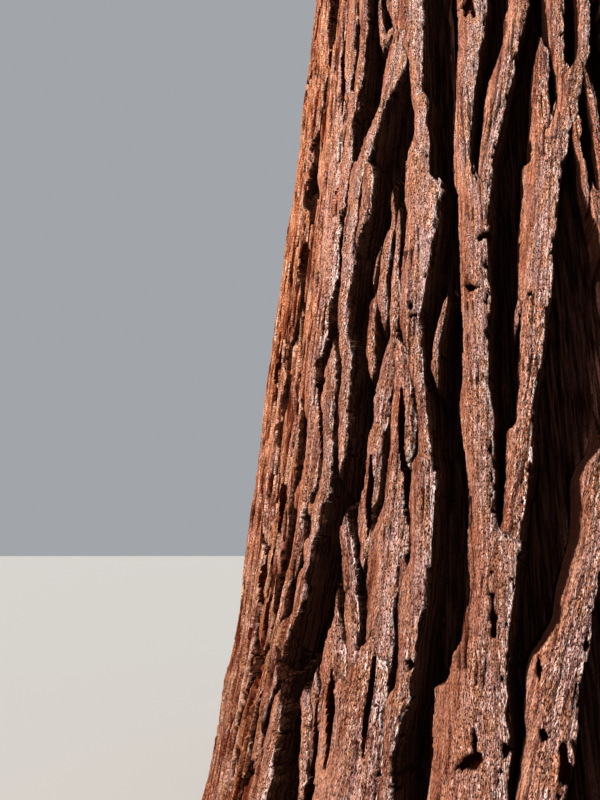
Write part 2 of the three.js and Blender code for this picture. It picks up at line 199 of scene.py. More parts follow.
# Plates of bark as the photo shows them, each from its upper end down: the photo's columns of the left
# and right edges of its flat top, and the row. A plate whose two edges meet ends in a point there, and
# a left edge of 0 is past the trunk's outline.
PHOTO_PLATES = {
    "middle": [
        (457, 487, 0), (458, 486, 20), (459, 484, 40), (458, 479, 60), (457, 477, 80), (456, 475, 100),
        (455, 472, 120), (454, 471, 140), (454, 472, 160), (454, 476, 178), (459, 490, 196),
        (459, 490, 220), (460, 488, 240), (461, 487, 270), (462, 490, 300), (463, 489, 320),
        (464, 488, 345), (463, 488, 370), (460, 490, 400), (461, 493, 420), (464, 493, 440),
        (467, 494, 460), (469, 494, 480), (470, 494, 505), (470, 497, 525), (470, 521, 545),
        (470, 517, 560), (471, 515, 580), (470, 512, 600), (467, 511, 620), (464, 510, 638),
        (455, 508, 655), (450, 506, 675), (447, 507, 686), (435, 508, 690), (435, 508, 705),
        (434, 511, 725), (434, 511, 745), (434, 508, 765), (431, 508, 782), (428, 508, 800),
    ],
    "middle_right": [
        (508, 530, 0), (504, 525, 20), (503, 520, 40), (498, 516, 60), (489, 513, 80), (485, 507, 100),
        (483, 503, 120), (481, 498, 140), (480, 493, 160), (479, 492, 178), (478, 490, 196),
        (479, 487, 215),
    ],
    "right_top": [
        (545, 563, 0), (547, 563, 30), (551, 564, 55), (556, 572, 75), (557, 580, 95), (554, 577, 115),
        (545, 570, 130), (540, 562, 148), (536, 552, 166),
    ],
    "right": [
        (541, 541, 38), (536, 548, 55), (533, 549, 75), (532, 549, 100), (531, 556, 125),
        (530, 568, 140), (531, 566, 158), (523, 563, 163), (523, 560, 190), (520, 557, 220),
        (519, 552, 258), (519, 552, 282), (519, 550, 300), (520, 546, 320), (520, 543, 345),
        (519, 541, 365), (520, 537, 380), (518, 533, 400), (517, 533, 420), (508, 533, 432),
        (507, 532, 450), (506, 529, 480), (505, 525, 500), (503, 522, 520), (497, 521, 535),
        (490, 520, 552), (486, 514, 572),
    ],
    "right_flake": [
        (519, 519, 296), (515, 520, 315), (515, 515, 338),
    ],
    "far_right": [
        (577, 589, 0), (578, 589, 30), (577, 588, 55), (570, 584, 68), (560, 582, 78), (557, 580, 95),
        (551, 574, 112), (547, 566, 130),
    ],
    "far_right_branch": [
        (581, 581, 58), (583, 587, 76), (587, 594, 94), (591, 598, 118), (594, 601, 145),
        (597, 604, 168), (601, 601, 200),
    ],
    "right_strand": [
        (572, 572, 112), (572, 581, 122), (573, 580, 140), (576, 581, 152), (580, 585, 165),
        (582, 588, 185), (588, 588, 205),
    ],
    "right_end": [
        (593, 593, 185), (590, 601, 196), (592, 602, 215), (597, 604, 228), (601, 601, 250),
    ],
    "furrow_sliver": [
        (447, 447, 296), (443, 448, 304), (438, 443, 325), (433, 438, 350), (433, 438, 366),
        (437, 437, 386),
    ],
    "corner": [
        (600, 600, 447), (588, 606, 462), (580, 608, 480), (581, 606, 510), (580, 604, 535),
        (574, 601, 556), (567, 598, 580), (562, 595, 600), (559, 593, 620), (550, 590, 636),
        (540, 588, 650), (533, 586, 660), (528, 580, 680), (527, 578, 700), (526, 577, 720),
        (527, 574, 740), (523, 572, 760), (521, 567, 780), (517, 562, 800),
    ],
    "fork": [
        (396, 424, 0), (400, 424, 30), (406, 423, 46), (410, 423, 60), (411, 423, 80), (412, 422, 92),
        (413, 427, 101), (415, 427, 110), (415, 425, 122), (415, 428, 136), (409, 429, 150),
        (407, 428, 160), (407, 428, 176), (406, 440, 185), (406, 444, 196), (408, 440, 210),
        (407, 437, 230), (405, 431, 255), (403, 427, 278), (401, 423, 300), (402, 419, 320),
        (404, 423, 335), (408, 422, 350), (411, 423, 370), (417, 426, 395), (419, 429, 420),
        (419, 431, 450), (413, 435, 466), (412, 436, 485), (411, 434, 505), (412, 433, 530),
        (411, 431, 558), (405, 430, 580), (402, 428, 598), (401, 422, 620), (401, 419, 640),
        (400, 415, 660), (398, 411, 682), (389, 409, 700), (386, 402, 720), (386, 397, 738),
        (384, 393, 760), (380, 392, 800),
    ],
    "fork_left": [
        (388, 400, 0), (394, 408, 28), (390, 410, 45), (386, 408, 60), (383, 403, 76), (382, 396, 88),
        (381, 391, 97), (377, 387, 108), (372, 383, 121), (366, 379, 136), (361, 375, 148),
        (356, 371, 160), (351, 366, 172), (350, 361, 188), (349, 359, 205), (346, 358, 222),
        (342, 355, 242), (341, 355, 262), (340, 353, 280), (341, 350, 298), (340, 349, 316),
        (340, 349, 334), (341, 352, 350), (343, 351, 368), (341, 349, 385), (339, 348, 400),
        (340, 348, 430), (340, 347, 455), (341, 341, 473),
    ],
    "fork_left_inner": [
        (368, 368, 160), (362, 372, 172), (363, 374, 182), (363, 373, 195), (362, 371, 205),
        (360, 367, 222), (358, 362, 236), (358, 358, 248),
    ],
    "strand_tall": [
        (394, 394, 188), (393, 395, 205), (393, 396, 222), (388, 394, 236), (384, 391, 250),
        (382, 391, 262), (381, 389, 280), (379, 388, 294), (381, 388, 308), (384, 388, 320),
        (385, 385, 332),
    ],
    "strand_thin": [
        (381, 381, 250), (376, 380, 264), (374, 377, 278), (374, 374, 288),
    ],
    "strand_low": [
        (377, 377, 292), (372, 377, 306), (371, 376, 316), (369, 375, 333), (368, 376, 351),
        (370, 377, 365), (373, 373, 382),
    ],
    "strand_right": [
        (400, 400, 210), (397, 402, 226), (397, 402, 243), (395, 400, 262), (393, 401, 279),
        (393, 401, 297), (391, 400, 315), (392, 398, 332), (389, 397, 345), (384, 395, 360),
        (381, 393, 380), (375, 391, 400), (374, 389, 420), (370, 386, 436), (368, 382, 456),
        (366, 380, 478), (364, 379, 495), (361, 375, 508), (360, 373, 528), (362, 371, 543),
        (362, 367, 558), (364, 364, 570),
    ],
    "plate": [
        (398, 398, 338), (394, 408, 352), (394, 411, 366), (393, 415, 395), (391, 416, 415),
        (390, 415, 436), (388, 413, 460), (386, 410, 480), (384, 408, 500), (380, 408, 512),
        (374, 408, 530), (371, 409, 548), (370, 402, 562), (369, 400, 580), (368, 394, 600),
        (367, 392, 620), (366, 393, 640), (361, 390, 660), (354, 388, 680), (352, 386, 704),
    ],
    "plate_strand": [
        (404, 404, 552), (402, 407, 568), (401, 406, 590), (403, 403, 608),
    ],
    "spear": [
        (347, 347, 514), (344, 350, 530), (343, 353, 543), (344, 355, 556), (345, 357, 579),
        (345, 358, 600), (345, 359, 620), (347, 359, 640), (346, 358, 660), (346, 353, 680),
        (345, 352, 706),
    ],
    "low_spear": [
        (338, 338, 594), (334, 341, 620), (327, 343, 636), (323, 346, 655), (321, 347, 672),
        (320, 350, 690), (320, 348, 716),
    ],
    "fringe_inner": [
        (316, 316, 670), (311, 317, 686), (310, 318, 700), (312, 318, 718), (311, 316, 735),
        (308, 312, 750), (309, 309, 768),
    ],
    "fringe": [
        (304, 304, 688), (302, 310, 700), (303, 310, 722), (303, 309, 742), (301, 306, 760),
        (300, 305, 782), (299, 304, 800),
    ],
    "foot": [
        (372, 372, 634), (360, 382, 650), (347, 388, 668), (336, 388, 682), (322, 387, 695),
        (320, 389, 712), (319, 393, 730), (317, 393, 750), (316, 393, 765), (312, 392, 782),
        (306, 391, 800),
    ],
    "upper_strand": [
        (380, 382, 0), (380, 384, 25), (381, 386, 40), (383, 383, 52),
    ],
    "upper_branch": [
        (395, 395, 20), (389, 395, 31), (383, 389, 43), (382, 382, 52),
    ],
    "edge_pale": [
        (360, 368, 0), (361, 368, 30), (360, 367, 50), (357, 364, 68), (356, 363, 82), (355, 359, 98),
        (357, 357, 114),
    ],
    "edge_inner": [
        (349, 359, 0), (348, 358, 36), (346, 355, 54), (345, 353, 72), (345, 350, 90), (348, 359, 102),
        (347, 359, 111), (345, 354, 126), (344, 353, 143), (342, 352, 160), (340, 350, 178),
        (338, 347, 195), (333, 344, 215), (330, 341, 235),
    ],
    "edge_middle": [
        (340, 347, 0), (339, 347, 30), (330, 345, 45), (329, 344, 65), (327, 344, 90), (326, 345, 110),
        (322, 344, 130), (320, 342, 150), (319, 341, 170), (320, 341, 190), (318, 341, 205),
        (313, 343, 218), (311, 342, 235), (310, 339, 255), (309, 339, 275), (308, 336, 295),
        (307, 331, 312), (306, 328, 333), (305, 325, 351), (303, 319, 369), (302, 318, 386),
        (303, 316, 400), (307, 319, 418), (306, 319, 440), (304, 319, 460), (299, 317, 480),
        (295, 308, 500), (295, 303, 520), (293, 302, 540), (289, 300, 560), (284, 293, 580),
        (280, 288, 600), (276, 284, 620), (270, 279, 640), (263, 273, 660), (258, 267, 680),
        (250, 258, 700), (244, 252, 720), (240, 249, 740), (239, 247, 760), (235, 241, 780),
        (230, 237, 800),
    ],
    "edge_rough": [
        (334, 334, 342), (331, 337, 356), (327, 338, 369), (323, 337, 386), (320, 336, 402),
        (321, 333, 420), (321, 333, 440), (323, 333, 460), (320, 332, 480), (315, 330, 496),
        (311, 322, 506), (311, 320, 530), (305, 313, 545), (304, 310, 562), (299, 306, 578),
        (297, 303, 596), (295, 299, 612), (293, 293, 628),
    ],
    "edge_sliver": [
        (293, 293, 612), (286, 292, 622), (282, 288, 636), (281, 284, 648), (281, 281, 658),
    ],
    "edge_low": [
        (304, 304, 308), (300, 305, 330), (296, 304, 350), (291, 302, 369), (289, 300, 386),
        (288, 299, 400), (286, 299, 420), (283, 296, 440), (281, 295, 460), (282, 293, 480),
        (280, 290, 500), (276, 288, 520), (271, 285, 540), (267, 281, 560), (266, 278, 580),
        (264, 275, 600), (262, 272, 620), (260, 268, 640), (262, 262, 656),
    ],
    "edge_upper": [
        (322, 331, 0), (321, 329, 20), (320, 327, 38), (320, 328, 50), (319, 328, 70), (320, 325, 90),
        (322, 324, 106), (323, 323, 122),
    ],
    "edge_between": [
        (306, 306, 206), (303, 309, 222), (302, 306, 240), (300, 303, 254), (300, 300, 264),
    ],
    "edge_outer": [
        (0, 320, 0), (0, 319, 50), (0, 316, 70), (0, 318, 90), (0, 320, 110), (0, 318, 128),
        (0, 313, 142), (0, 312, 160), (0, 309, 180), (0, 303, 198), (0, 301, 220), (0, 299, 240),
        (0, 298, 262), (0, 299, 280), (0, 298, 300), (0, 295, 320), (0, 290, 340), (0, 286, 360),
        (0, 283, 380), (0, 279, 400), (0, 279, 420), (0, 277, 440), (0, 279, 460), (0, 280, 480),
        (0, 277, 500), (0, 271, 520), (0, 267, 540), (0, 263, 560), (0, 262, 600), (0, 258, 620),
        (0, 254, 640), (0, 252, 660), (0, 250, 680), (0, 243, 700), (0, 240, 720), (0, 238, 740),
        (0, 236, 760), (0, 234, 780), (0, 230, 800),
    ],
    "foot_inner": [
        (276, 276, 658), (270, 276, 670), (268, 275, 682), (265, 270, 695), (262, 266, 710),
        (259, 263, 725), (257, 260, 742), (255, 257, 758), (255, 255, 768),
    ],
    "foot_outer": [
        (283, 283, 688), (276, 282, 698), (272, 281, 712), (269, 279, 725), (265, 278, 742),
        (262, 275, 756), (259, 274, 770), (251, 270, 785), (244, 266, 800),
    ],
}
OUTLINE_TURN = math.radians(177)

# Thin dark slits within the plates, given in the same way.
PHOTO_SLITS = {
    "slit_top": [
        (317, 320, 52), (312, 318, 68), (308, 313, 82), (306, 309, 94),
    ],
    "slit_upper": [
        (331, 331, 58), (331, 333, 70), (330, 332, 88), (329, 329, 102),
    ],
    "slit_upper_right": [
        (344, 344, 56), (343, 345, 72), (343, 345, 92), (344, 344, 104),
    ],
    "slit_gap": [
        (320, 320, 110), (321, 323, 118), (320, 322, 130), (319, 319, 140),
    ],
    "slit_cross": [
        (342, 342, 222), (343, 346, 226), (341, 343, 244), (340, 342, 262), (339, 341, 280),
        (339, 339, 296),
    ],
    "slit_outer": [
        (291, 291, 270), (290, 292, 300), (286, 288, 330), (281, 283, 350), (277, 279, 372),
        (275, 275, 400),
    ],
    "slit_low": [
        (263, 263, 536), (263, 266, 556), (261, 264, 580), (259, 262, 610), (257, 260, 632),
    ],
    "slit_second": [
        (286, 286, 470), (284, 286, 500), (278, 280, 530), (273, 275, 560), (270, 272, 590),
        (268, 268, 620),
    ],
    "slit_third": [
        (318, 318, 398), (319, 321, 420), (320, 322, 450), (319, 321, 472), (316, 316, 488),
    ],
    "slit_plate": [
        (402, 402, 412), (401, 404, 422), (401, 404, 436), (402, 402, 448),
    ],
    "slit_plate_low": [
        (404, 404, 462), (405, 409, 470), (407, 410, 482), (408, 408, 494),
    ],
    "slit_strand": [
        (372, 372, 478), (370, 373, 488), (369, 372, 500), (370, 370, 512),
    ],
    "slit_foot": [
        (331, 331, 690), (329, 333, 700), (328, 332, 720), (329, 329, 736),
    ],
    "slit_foot_plate": [
        (372, 372, 680), (370, 372, 690), (368, 370, 702), (365, 367, 718), (365, 365, 732),
    ],
    "slit_base": [
        (316, 316, 724), (315, 317, 740), (312, 315, 760), (309, 312, 780), (306, 308, 800),
    ],
}
SLIT_DEPTH, SLIT_INSET = 0.4, 0.007

# Colours of the bark, as linear shares of red, green and blue.
BARK_COLOURS = {
    "rust": (0.35, 0.083, 0.036),
    "orange": (0.65, 0.28, 0.165),
    "golden": (0.67, 0.33, 0.205),
    "lilac": (0.71, 0.455, 0.42),
    "flank_red": (0.36, 0.07, 0.022),
    "flank_orange": (0.66, 0.275, 0.135),
    "flank_pale": (0.90, 0.57, 0.41),
    "pale": (0.92, 0.73, 0.68),
    "streak": (0.11, 0.016, 0.006),
    "line": (0.075, 0.011, 0.004),
    # Painted shade in the fine pits of the crests.
    "pit_shade": (0.05, 0.009, 0.003),
    # The walls' colours are painted shade, dark below the crests.
    "dark_wall_shade": (0.022, 0.008, 0.005),
    "wall": (0.085, 0.032, 0.02),
    # Painted shadow on the left walls, which the sun lights.
    "left_wall_shadow": (0.016, 0.005, 0.003),
    # Painted shade, redder, on the walls of the sunny flank.
    "flank_wall_shade": (0.09, 0.016, 0.005),
    # The furrow floors' colours are painted shade, near black.
    "dark_floor_shade": (0.01, 0.0035, 0.0025),
    "floor": (0.055, 0.022, 0.016),
    # Painted shade in holes, cracks and slits.
    "hollow": (0.016, 0.003, 0.0015),
}
FIBRE_BUMP, PIT_BUMP, SCALE_BUMP = 0.012 * K, 0.008 * K, 0.02
CUT_WOOD = ((0.42, 0.22, 0.13), 0.85)
LIMB_DARK, LIMB_RED, LIMB_GREY = (0.10, 0.04, 0.022, 1), (0.31, 0.13, 0.07, 1), (0.34, 0.22, 0.16, 1)

# Crown.
BOUGHS = 22
LOWEST_MASS, HIGHEST_MASS, MASS_CROWDING = 23.5, 54, 1.12
TUFTS = 6
LOWEST_TUFT, HIGHEST_TUFT = 55, 60.2
BOUGH_SEED, FOLIAGE_SEED = 101, 501
MASS_SHARE = (0.34, 0.5, 0.44)
TUFT_SHARE = (0.42, 0.56, 0.5)
TOP_HALF_SIZE = (1.5, 1.5, 2.1)
TOP_SKIRT = 0.5
BOUGH_TURN, BOUGH_RADIUS, BOUGH_RADIUS_PER_METRE, STEM_SHARE = 0.4, 0.1, 0.05, 0.42
TUFT_TURN, TUFT_CLIMB, TUFT_DROP, TUFT_STEM, TOP_STEM = 0.6, 0.4, 0.5, 0.1, 0.06
BOUGH_TIP = (-0.55, 0, -0.5)
ROOT_DROP, ROOT_DROP_ABOVE, ROOT_SHARE = 0.05, 0.5, 0.5
DIP_OUT, DIP_DOWN, BEND_IN, BEND_DOWN, BEND_DOWN_ABOVE = 0.45, 0.1, 0.28, 0.3, 0.12
COLLAR_SHARE, COLLAR_LENGTH = 0.35, 0.08
BOUGH_STEPS = 201
STEM_END = (0.1, 0, 0.5)
TWIGS_PER_MASS = 8
TWIG_REACH, SPRAY_REACH, LOWEST_FORK = 0.78, 0.98, 0.6
TWIG_SAG, FINE_SAG = 0.06, 0.08
TWIG_SHARE, FINE_SHARE = 0.42, 0.14
STEM_RISE, STEM_TAPER, TWIG_TAPER, FINE_TAPER = 0.45, 0.6, 0.6, 0.8
FINE_TWIGS, FINE_FORKS, FINE_UNEVEN = 126, (0.25, 0.95), (-0.07, 0.03)
LOBE_VALLEY, LOBE_CREST, LOBE_EDGES = 0.66, 0.93, (0.68, 0.95)
BOUGH_RINGS, BOUGH_SIDES = 44, 22
STEM_RINGS, STEM_SIDES = 9, 8
TWIG_RINGS, TWIG_SIDES = 6, 6
FINE_RINGS, FINE_SIDES = 4, 3

# The bark of a bough: cells round and along it, their depth as a share of its radius, and their seeds.
BOUGH_FURROWS, BOUGH_KNOBS = (9, 9, 0.07, 60), (5, 22, 0.03, 160)
BOUGH_BARK = 0.95

# Sprays: how many kinds, how many to a fine twig, their real lengths, and the blades of one.
SPRAY_KINDS, SPRAY_SEED = 6, 77
SPRAYS_PER_TWIG = 13
SPRAY_LENGTHS, SPRAY_STARTS = (0.36, 0.62), (0.35, 1.0)
SPRAY_SHORTEST, SPRAY_LONGER = 0.55, 0.2
SHOOTS, LEADER_WIDTH, SHOOT_WIDTH = 9, 0.065, 0.078
FIRST_SHOOT, SHOOT_SPACING, SHOOT_UNEVEN = 0.1, 0.085, (0.8, 1.2)
SHOOT_LENGTH, SHOOT_SHORTER, LONGEST_AT = 0.42, 0.3, 0.3
SHOOT_LEAN, LEAN_SPREAD, LIFT_SPREAD, LIFT_DOWN = 0.62, 0.3, 0.5, 0.35
BLADE_TILT, BLADE_MIDDLE = 0.3, 0.45
GROWTH_PULL, OUTWARD_PULL, SCATTER_PULL, LIGHT_PULL = 0.45, 0.35, 0.75, 0.35
MOST_BLADES = 80000

# The leaves' tones, each with its roughness, and how often a lobe, a twig and a spray take each.
LEAF_TONES = {
    "leaf_blue_green": ((0.15, 0.235, 0.125), 0.6),
    "leaf_green": ((0.19, 0.275, 0.085), 0.6),
    "leaf_yellow_green": ((0.30, 0.36, 0.105), 0.6),
    "leaf_dark_and_shaded": ((0.075, 0.12, 0.05), 0.65),
    "leaf_brown": ((0.24, 0.16, 0.07), 0.7),
}
# Tones by number. The dark tone is also painted shade on sprays deep inside a mass, below a depth share.
SHADED_LEAF, BROWN_LEAF = 3, 4
LOBE_ODDS = [0.36, 0.42, 0.22]
TWIG_ODDS = [0.27, 0.32, 0.25, 0.13, 0.03]
SPRAY_ODDS = [0.26, 0.34, 0.26, 0.11, 0.03]
LOBE_TONED, TWIG_TONED, SHADED_INSIDE = 0.4, 0.7, 0.6

# The floor under the tree, the sun and the sky.
FLOOR_RADIUS, FLOOR_SIDES = 1600, 96
PALE_FLOOR = ((0.5, 0.49, 0.475), 0.9)
SUN_ENERGY, SUN_SPREAD, SUN_COLOUR = 5.0, math.radians(5), (1.0, 0.96, 0.9)
SUN_TURN, SUN_CLIMB = math.radians(203), math.radians(40)
SKY_COLOUR, SKY_STRENGTH = (0.86, 0.9, 0.95, 1), 0.42


def seeded_random(seed):
    """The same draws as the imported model's source: a linear congruential generator, from 0 to 1."""
    state = seed

    def draw():
        nonlocal state
        state = (state * 1664525 + 1013904223) % 2**32
        return state / 2**32

    return draw


def between(random, low, high):
    return low + (high - low) * random()


def off_centre(random, width):
    return width * (random() - 0.5)


def along_profile(profile, at):
    """A smooth curve through (at, value) stations that never overshoots them."""
    stations, values = np.array(profile, float).T
    secants = np.diff(values) / np.diff(stations)
    slopes = np.empty_like(values)
    slopes[0], slopes[-1] = secants[0], secants[-1]
    before, after = secants[:-1], secants[1:]
    agree = before * after > 0
    slopes[1:-1] = np.where(agree, 2 * before * after / np.where(agree, before + after, 1), 0)
    at = np.clip(at, stations[0], stations[-1])
    i = np.clip(np.searchsorted(stations, at, side="right") - 1, 0, len(stations) - 2)
    span = stations[i + 1] - stations[i]
    t = (at - stations[i]) / span
    blend = 2 * t**3 - 3 * t**2 + 1
    rise = (t**3 - 2 * t**2 + t) * span * slopes[i] + (t**3 - t**2) * span * slopes[i + 1]
    return blend * values[i] + (1 - blend) * values[i + 1] + rise


def smooth_step(t):
    t = np.clip(t, 0, 1)
    return t * t * (3 - 2 * t)


def fade_in(values, start, end):
    """0 up to the start, 1 from the end on, and smooth in between."""
    return smooth_step((values - start) / (end - start))


def unit(vectors):
    vectors = np.asarray(vectors, float)
    return vectors / np.linalg.norm(vectors, axis=-1, keepdims=True)


def outward(angle):
    return np.stack([np.cos(angle), np.sin(angle), np.zeros_like(angle)], axis=-1)


def trunk_axis(height):
    """Centre of the trunk at a real height."""
    height = np.asarray(height, float)
    x = LEAN_REACH * (1 - np.exp(-height / LEAN_HEIGHT))
    y = SWAY_REACH * np.sin(height / SWAY_HEIGHT) * height / TREE_HEIGHT
    return np.stack([x, y, height], axis=-1)


def crest_radius(height, angle):
    wave = sum(share * np.cos(n * angle + phase) for n, share, phase in LOBES)
    swell = LOBE_ALWAYS + LOBE_BASE * np.exp(-height / LOBE_HEIGHT)
    return along_profile(TRUNK_PROFILE, height) * (1 + wave * swell)


def flank_share(turns):
    """1 in the middle of the sunny flank, where the bark is smoother and shallower, and 0 away from it."""
    return smooth_step((turns - FLANK_START) / FLANK_EDGE) * smooth_step((FLANK_END - turns) / FLANK_EDGE)


def bark_radius(height, angle):
    """The crests of the bark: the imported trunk's, a little slimmer at the foot of the flank."""
    slimmer = FOOT_INSET * smooth_step(1 - height / FOOT_HEIGHT) * flank_share(angle)
    return crest_radius(height, angle) - slimmer


def lattice(column, row, seed):
    """One fixed value from 0 to 1 for each point of a lattice."""
    mixed = column.astype(np.uint32) * np.uint32(374761393)
    mixed = mixed + row.astype(np.uint32) * np.uint32(668265263)
    mixed = mixed + np.uint32(seed * 2246822519 % 2**32)
    mixed = (mixed ^ (mixed >> np.uint32(13))) * np.uint32(1274126177)
    mixed = (mixed ^ (mixed >> np.uint32(15))) * np.uint32(2654435761)
    return (mixed ^ (mixed >> np.uint32(16))) / 2**32


def value_noise(across, along, seed, period=None):
    """Smooth noise from -1 to 1 with unit cells. It repeats after a period of cells."""
    column, row = np.floor(across), np.floor(along)
    u, v = smooth_step(across - column), smooth_step(along - row)
    column, row = column.astype(np.int64), row.astype(np.int64)

    def corner(right, up):
        at = column + right
        return lattice(at % period if period else at, row + up, seed)

    lower = corner(0, 0) * (1 - u) + corner(1, 0) * u
    upper = corner(0, 1) * (1 - u) + corner(1, 1) * u
    return 2 * (lower * (1 - v) + upper * v) - 1


def chips(kind, across, along, shift=0.0):
    """Long chips side by side, each column broken at places of its own: each chip's level from -1 to 1,
    and how near its edge a point is, 1 in the crack."""
    width, length, seed, taper = CHIPS[kind]
    across, along = across / width + shift, along / length
    column = np.floor(across)
    u = across - column
    column = column.astype(np.int64)
    shortest, longest = CHIP_LENGTHS
    stretch = shortest + (longest - shortest) * lattice(column, column * 0 + 5, seed)
    along = along * stretch + 9 * lattice(column, column * 0, seed)
    row = np.floor(along)
    from_end = np.minimum(along - row, 1 - along + row)
    level = 2 * lattice(column, row.astype(np.int64), seed + 1) - 1
    inset = np.minimum(u, 1 - u)
    if taper:
        inset = inset - CHIP_POINT * (1 - smooth_step(from_end / taper))
    return level, 1 - smooth_step(inset / CHIP_CRACK)


def trunk_noise(pattern, turns, heights):
    """One of the patterns round the trunk, from -1 to 1, closing on itself."""
    width, length, seed = TRUNK_PATTERNS[pattern]
    cells = round(FULL_TURN * REFERENCE_RADIUS / width)
    return value_noise(turns / FULL_TURN * cells, heights / length, seed, period=cells)


def grain_noise(pattern, grain, shift=0.0):
    """One of the patterns along the grain, from -1 to 1."""
    width, length, seed = GRAIN_PATTERNS[pattern]
    return value_noise(grain[..., 0] / width + shift, grain[..., 1] / length, seed)


def mesh_object(name, points, faces, materials, tones=None, smooth=True):
    """A mesh from arrays of real points and of faces that all have the same number of corners."""
    mesh = bpy.data.meshes.new(name)
    corners = faces.shape[1]
    mesh.vertices.add(len(points))
    mesh.vertices.foreach_set("co", (np.asarray(points) * K).astype(np.float32).ravel())
    mesh.loops.add(faces.size)
    mesh.loops.foreach_set("vertex_index", faces.astype(np.int32).ravel())
    mesh.polygons.add(len(faces))
    mesh.polygons.foreach_set("loop_start", np.arange(0, faces.size, corners, dtype=np.int32))
    mesh.polygons.foreach_set("use_smooth", np.full(len(faces), smooth))
    for material in materials:
        mesh.materials.append(material)
    if tones is not None:
        mesh.polygons.foreach_set("material_index", tones.astype(np.int32))
    mesh.update(calc_edges=True)
    piece = bpy.data.objects.new(name, mesh)
    bpy.context.scene.collection.objects.link(piece)
    return piece


def add_numbers(piece, **values):
    """Numbers that the material reads at each point, by their names."""
    for name, numbers in values.items():
        layer = piece.data.attributes.new(name, "FLOAT", "POINT")
        layer.data.foreach_set("value", numbers.astype(np.float32).ravel())


def add_vector(piece, name, vectors):
    layer = piece.data.attributes.new(name, "FLOAT_VECTOR", "POINT")
    layer.data.foreach_set("vector", vectors.astype(np.float32).ravel())


def sheet_faces(rows, columns):
    """The quads of a sheet of points, row by row."""
    at = np.arange(rows * columns).reshape(rows, columns)
    return np.stack([at[:-1, :-1], at[:-1, 1:], at[1:, 1:], at[1:, :-1]], axis=-1).reshape(-1, 4)


@dataclass
class Ridge:
    """A ridge of bark. Its stations go upwards, and half is the half width of its flat top."""

    number: int
    heights: list
    turns: list
    halves: list
    sunk: float = 0.0

    def grain_turns(self, heights):
        """The line that its fibres follow: its own, without the quick turns."""
        degree = min(3, len(self.heights) // 3)
        start = self.heights[0]
        line = np.polyfit(np.array(self.heights) - start, self.turns, degree)
        return np.polyval(line, np.clip(heights, start, self.heights[-1]) - start)


def on_trunk(columns, rows):
    """Turns and heights where the sight lines through the photo's pixels meet the crests, or pass nearest."""
    ahead = np.array([0, math.cos(PITCH), math.sin(PITCH)])
    above = np.array([0, -math.sin(PITCH), math.cos(PITCH)])
    right = np.array([1.0, 0, 0])
    x = np.asarray(columns, float)[:, None] - PHOTO_WIDTH / 2
    y = PHOTO_HEIGHT / 2 - np.asarray(rows, float)[:, None]
    sight = unit(x * right + y * above + FOCAL_PIXELS * ahead)
    distances = np.arange(*SIGHT_STEPS)
    points = EYE + sight[:, None, :] * distances[:, None]
    offset = points - trunk_axis(points[..., 2])
    turns = np.arctan2(offset[..., 1], offset[..., 0]) % FULL_TURN
    crests = bark_radius(np.maximum(points[..., 2], 0), turns) - CREST_INSET
    clear = np.hypot(offset[..., 0], offset[..., 1]) - crests
    first = np.argmax(clear < 0, axis=1)
    hit = np.where(clear.min(axis=1) < 0, first, np.argmin(clear, axis=1))
    each = np.arange(len(points))
    return turns[each, hit], points[each, hit, 2]


def wall_share(halves):
    """A narrow ridge has steeper walls: its share of the full wall."""
    return float(np.clip(max(halves) / WIDE_HALF, NARROW_WALL, 1))


def pointed(heights, turns, halves):
    """Stations of a ridge that goes on, below the surface, past each end with a half width of 0: it comes to
    a point there and then slopes down into the furrow."""
    wall = WALL * wall_share(halves)
    for at, beside in ((0, 1), (-1, -2)):
        if halves[at] > 0:
            continue
        halves[at] = 0.0
        slim = along_profile(TRUNK_PROFILE, max(heights[at], 0)) / REFERENCE_RADIUS
        run = END_RUN * slim * math.copysign(wall_share(halves), heights[at] - heights[beside])
        slope = (turns[at] - turns[beside]) / (heights[at] - heights[beside])
        place = 0 if at == 0 else len(heights)
        end = heights[at] + run, turns[at] + 0.5 * slope * run, -END_BELOW * wall * slim
        for values, value in zip((heights, turns, halves), end):
            values.insert(place, value)
    return heights, turns, halves


def photographed_ridges(plates, inset=0.0):
    """Ridges from their edges in the photo, each edge moved in by an inset. One that leaves the photo goes on
    to the ground or fades out above."""
    ridges = []
    random = seeded_random(LOOSE_SEED)
    for number, edges in enumerate(plates.values()):
        lefts, rights, rows = np.array(edges[::-1], float).T
        left_turns, left_heights = on_trunk(lefts, rows)
        right_turns, right_heights = on_trunk(rights, rows)
        left_turns = np.where(lefts == 0, OUTLINE_TURN, left_turns)
        heights = list(np.where(lefts == 0, right_heights, (left_heights + right_heights) / 2))
        turns = list((left_turns + right_turns) / 2)
        halves = (right_turns - left_turns) / 2 * along_profile(TRUNK_PROFILE, heights)
        halves = list(np.where(halves > 0, np.maximum(halves - inset, LEAST_HALF), 0))
        if rows[0] >= PHOTO_HEIGHT:
            slope = (turns[1] - turns[0]) / (heights[1] - heights[0])
            turns.insert(0, turns[0] - slope * heights[0] * FOOT_SWEEP)
            halves.insert(0, halves[0] * FOOT_SPREAD)
            heights.insert(0, -END_FADE - BELOW_GROUND)
        if rows[-1] <= 0:
            for climb, share in ABOVE_PHOTO:
                turns.append(turns[-1] + off_centre(random, ABOVE_SWAY))
                heights.append(heights[-1] + climb * between(random, *ABOVE_CLIMBS))
                halves.append(halves[-1] * share)
            turns.append(turns[-1])
            heights.append(heights[-1] + ABOVE_END)
            halves.append(0.0)
        ridges.append(Ridge(number, *pointed(heights, turns, halves), PHOTO_RIDGE_DEPTH * random()))
    return ridges


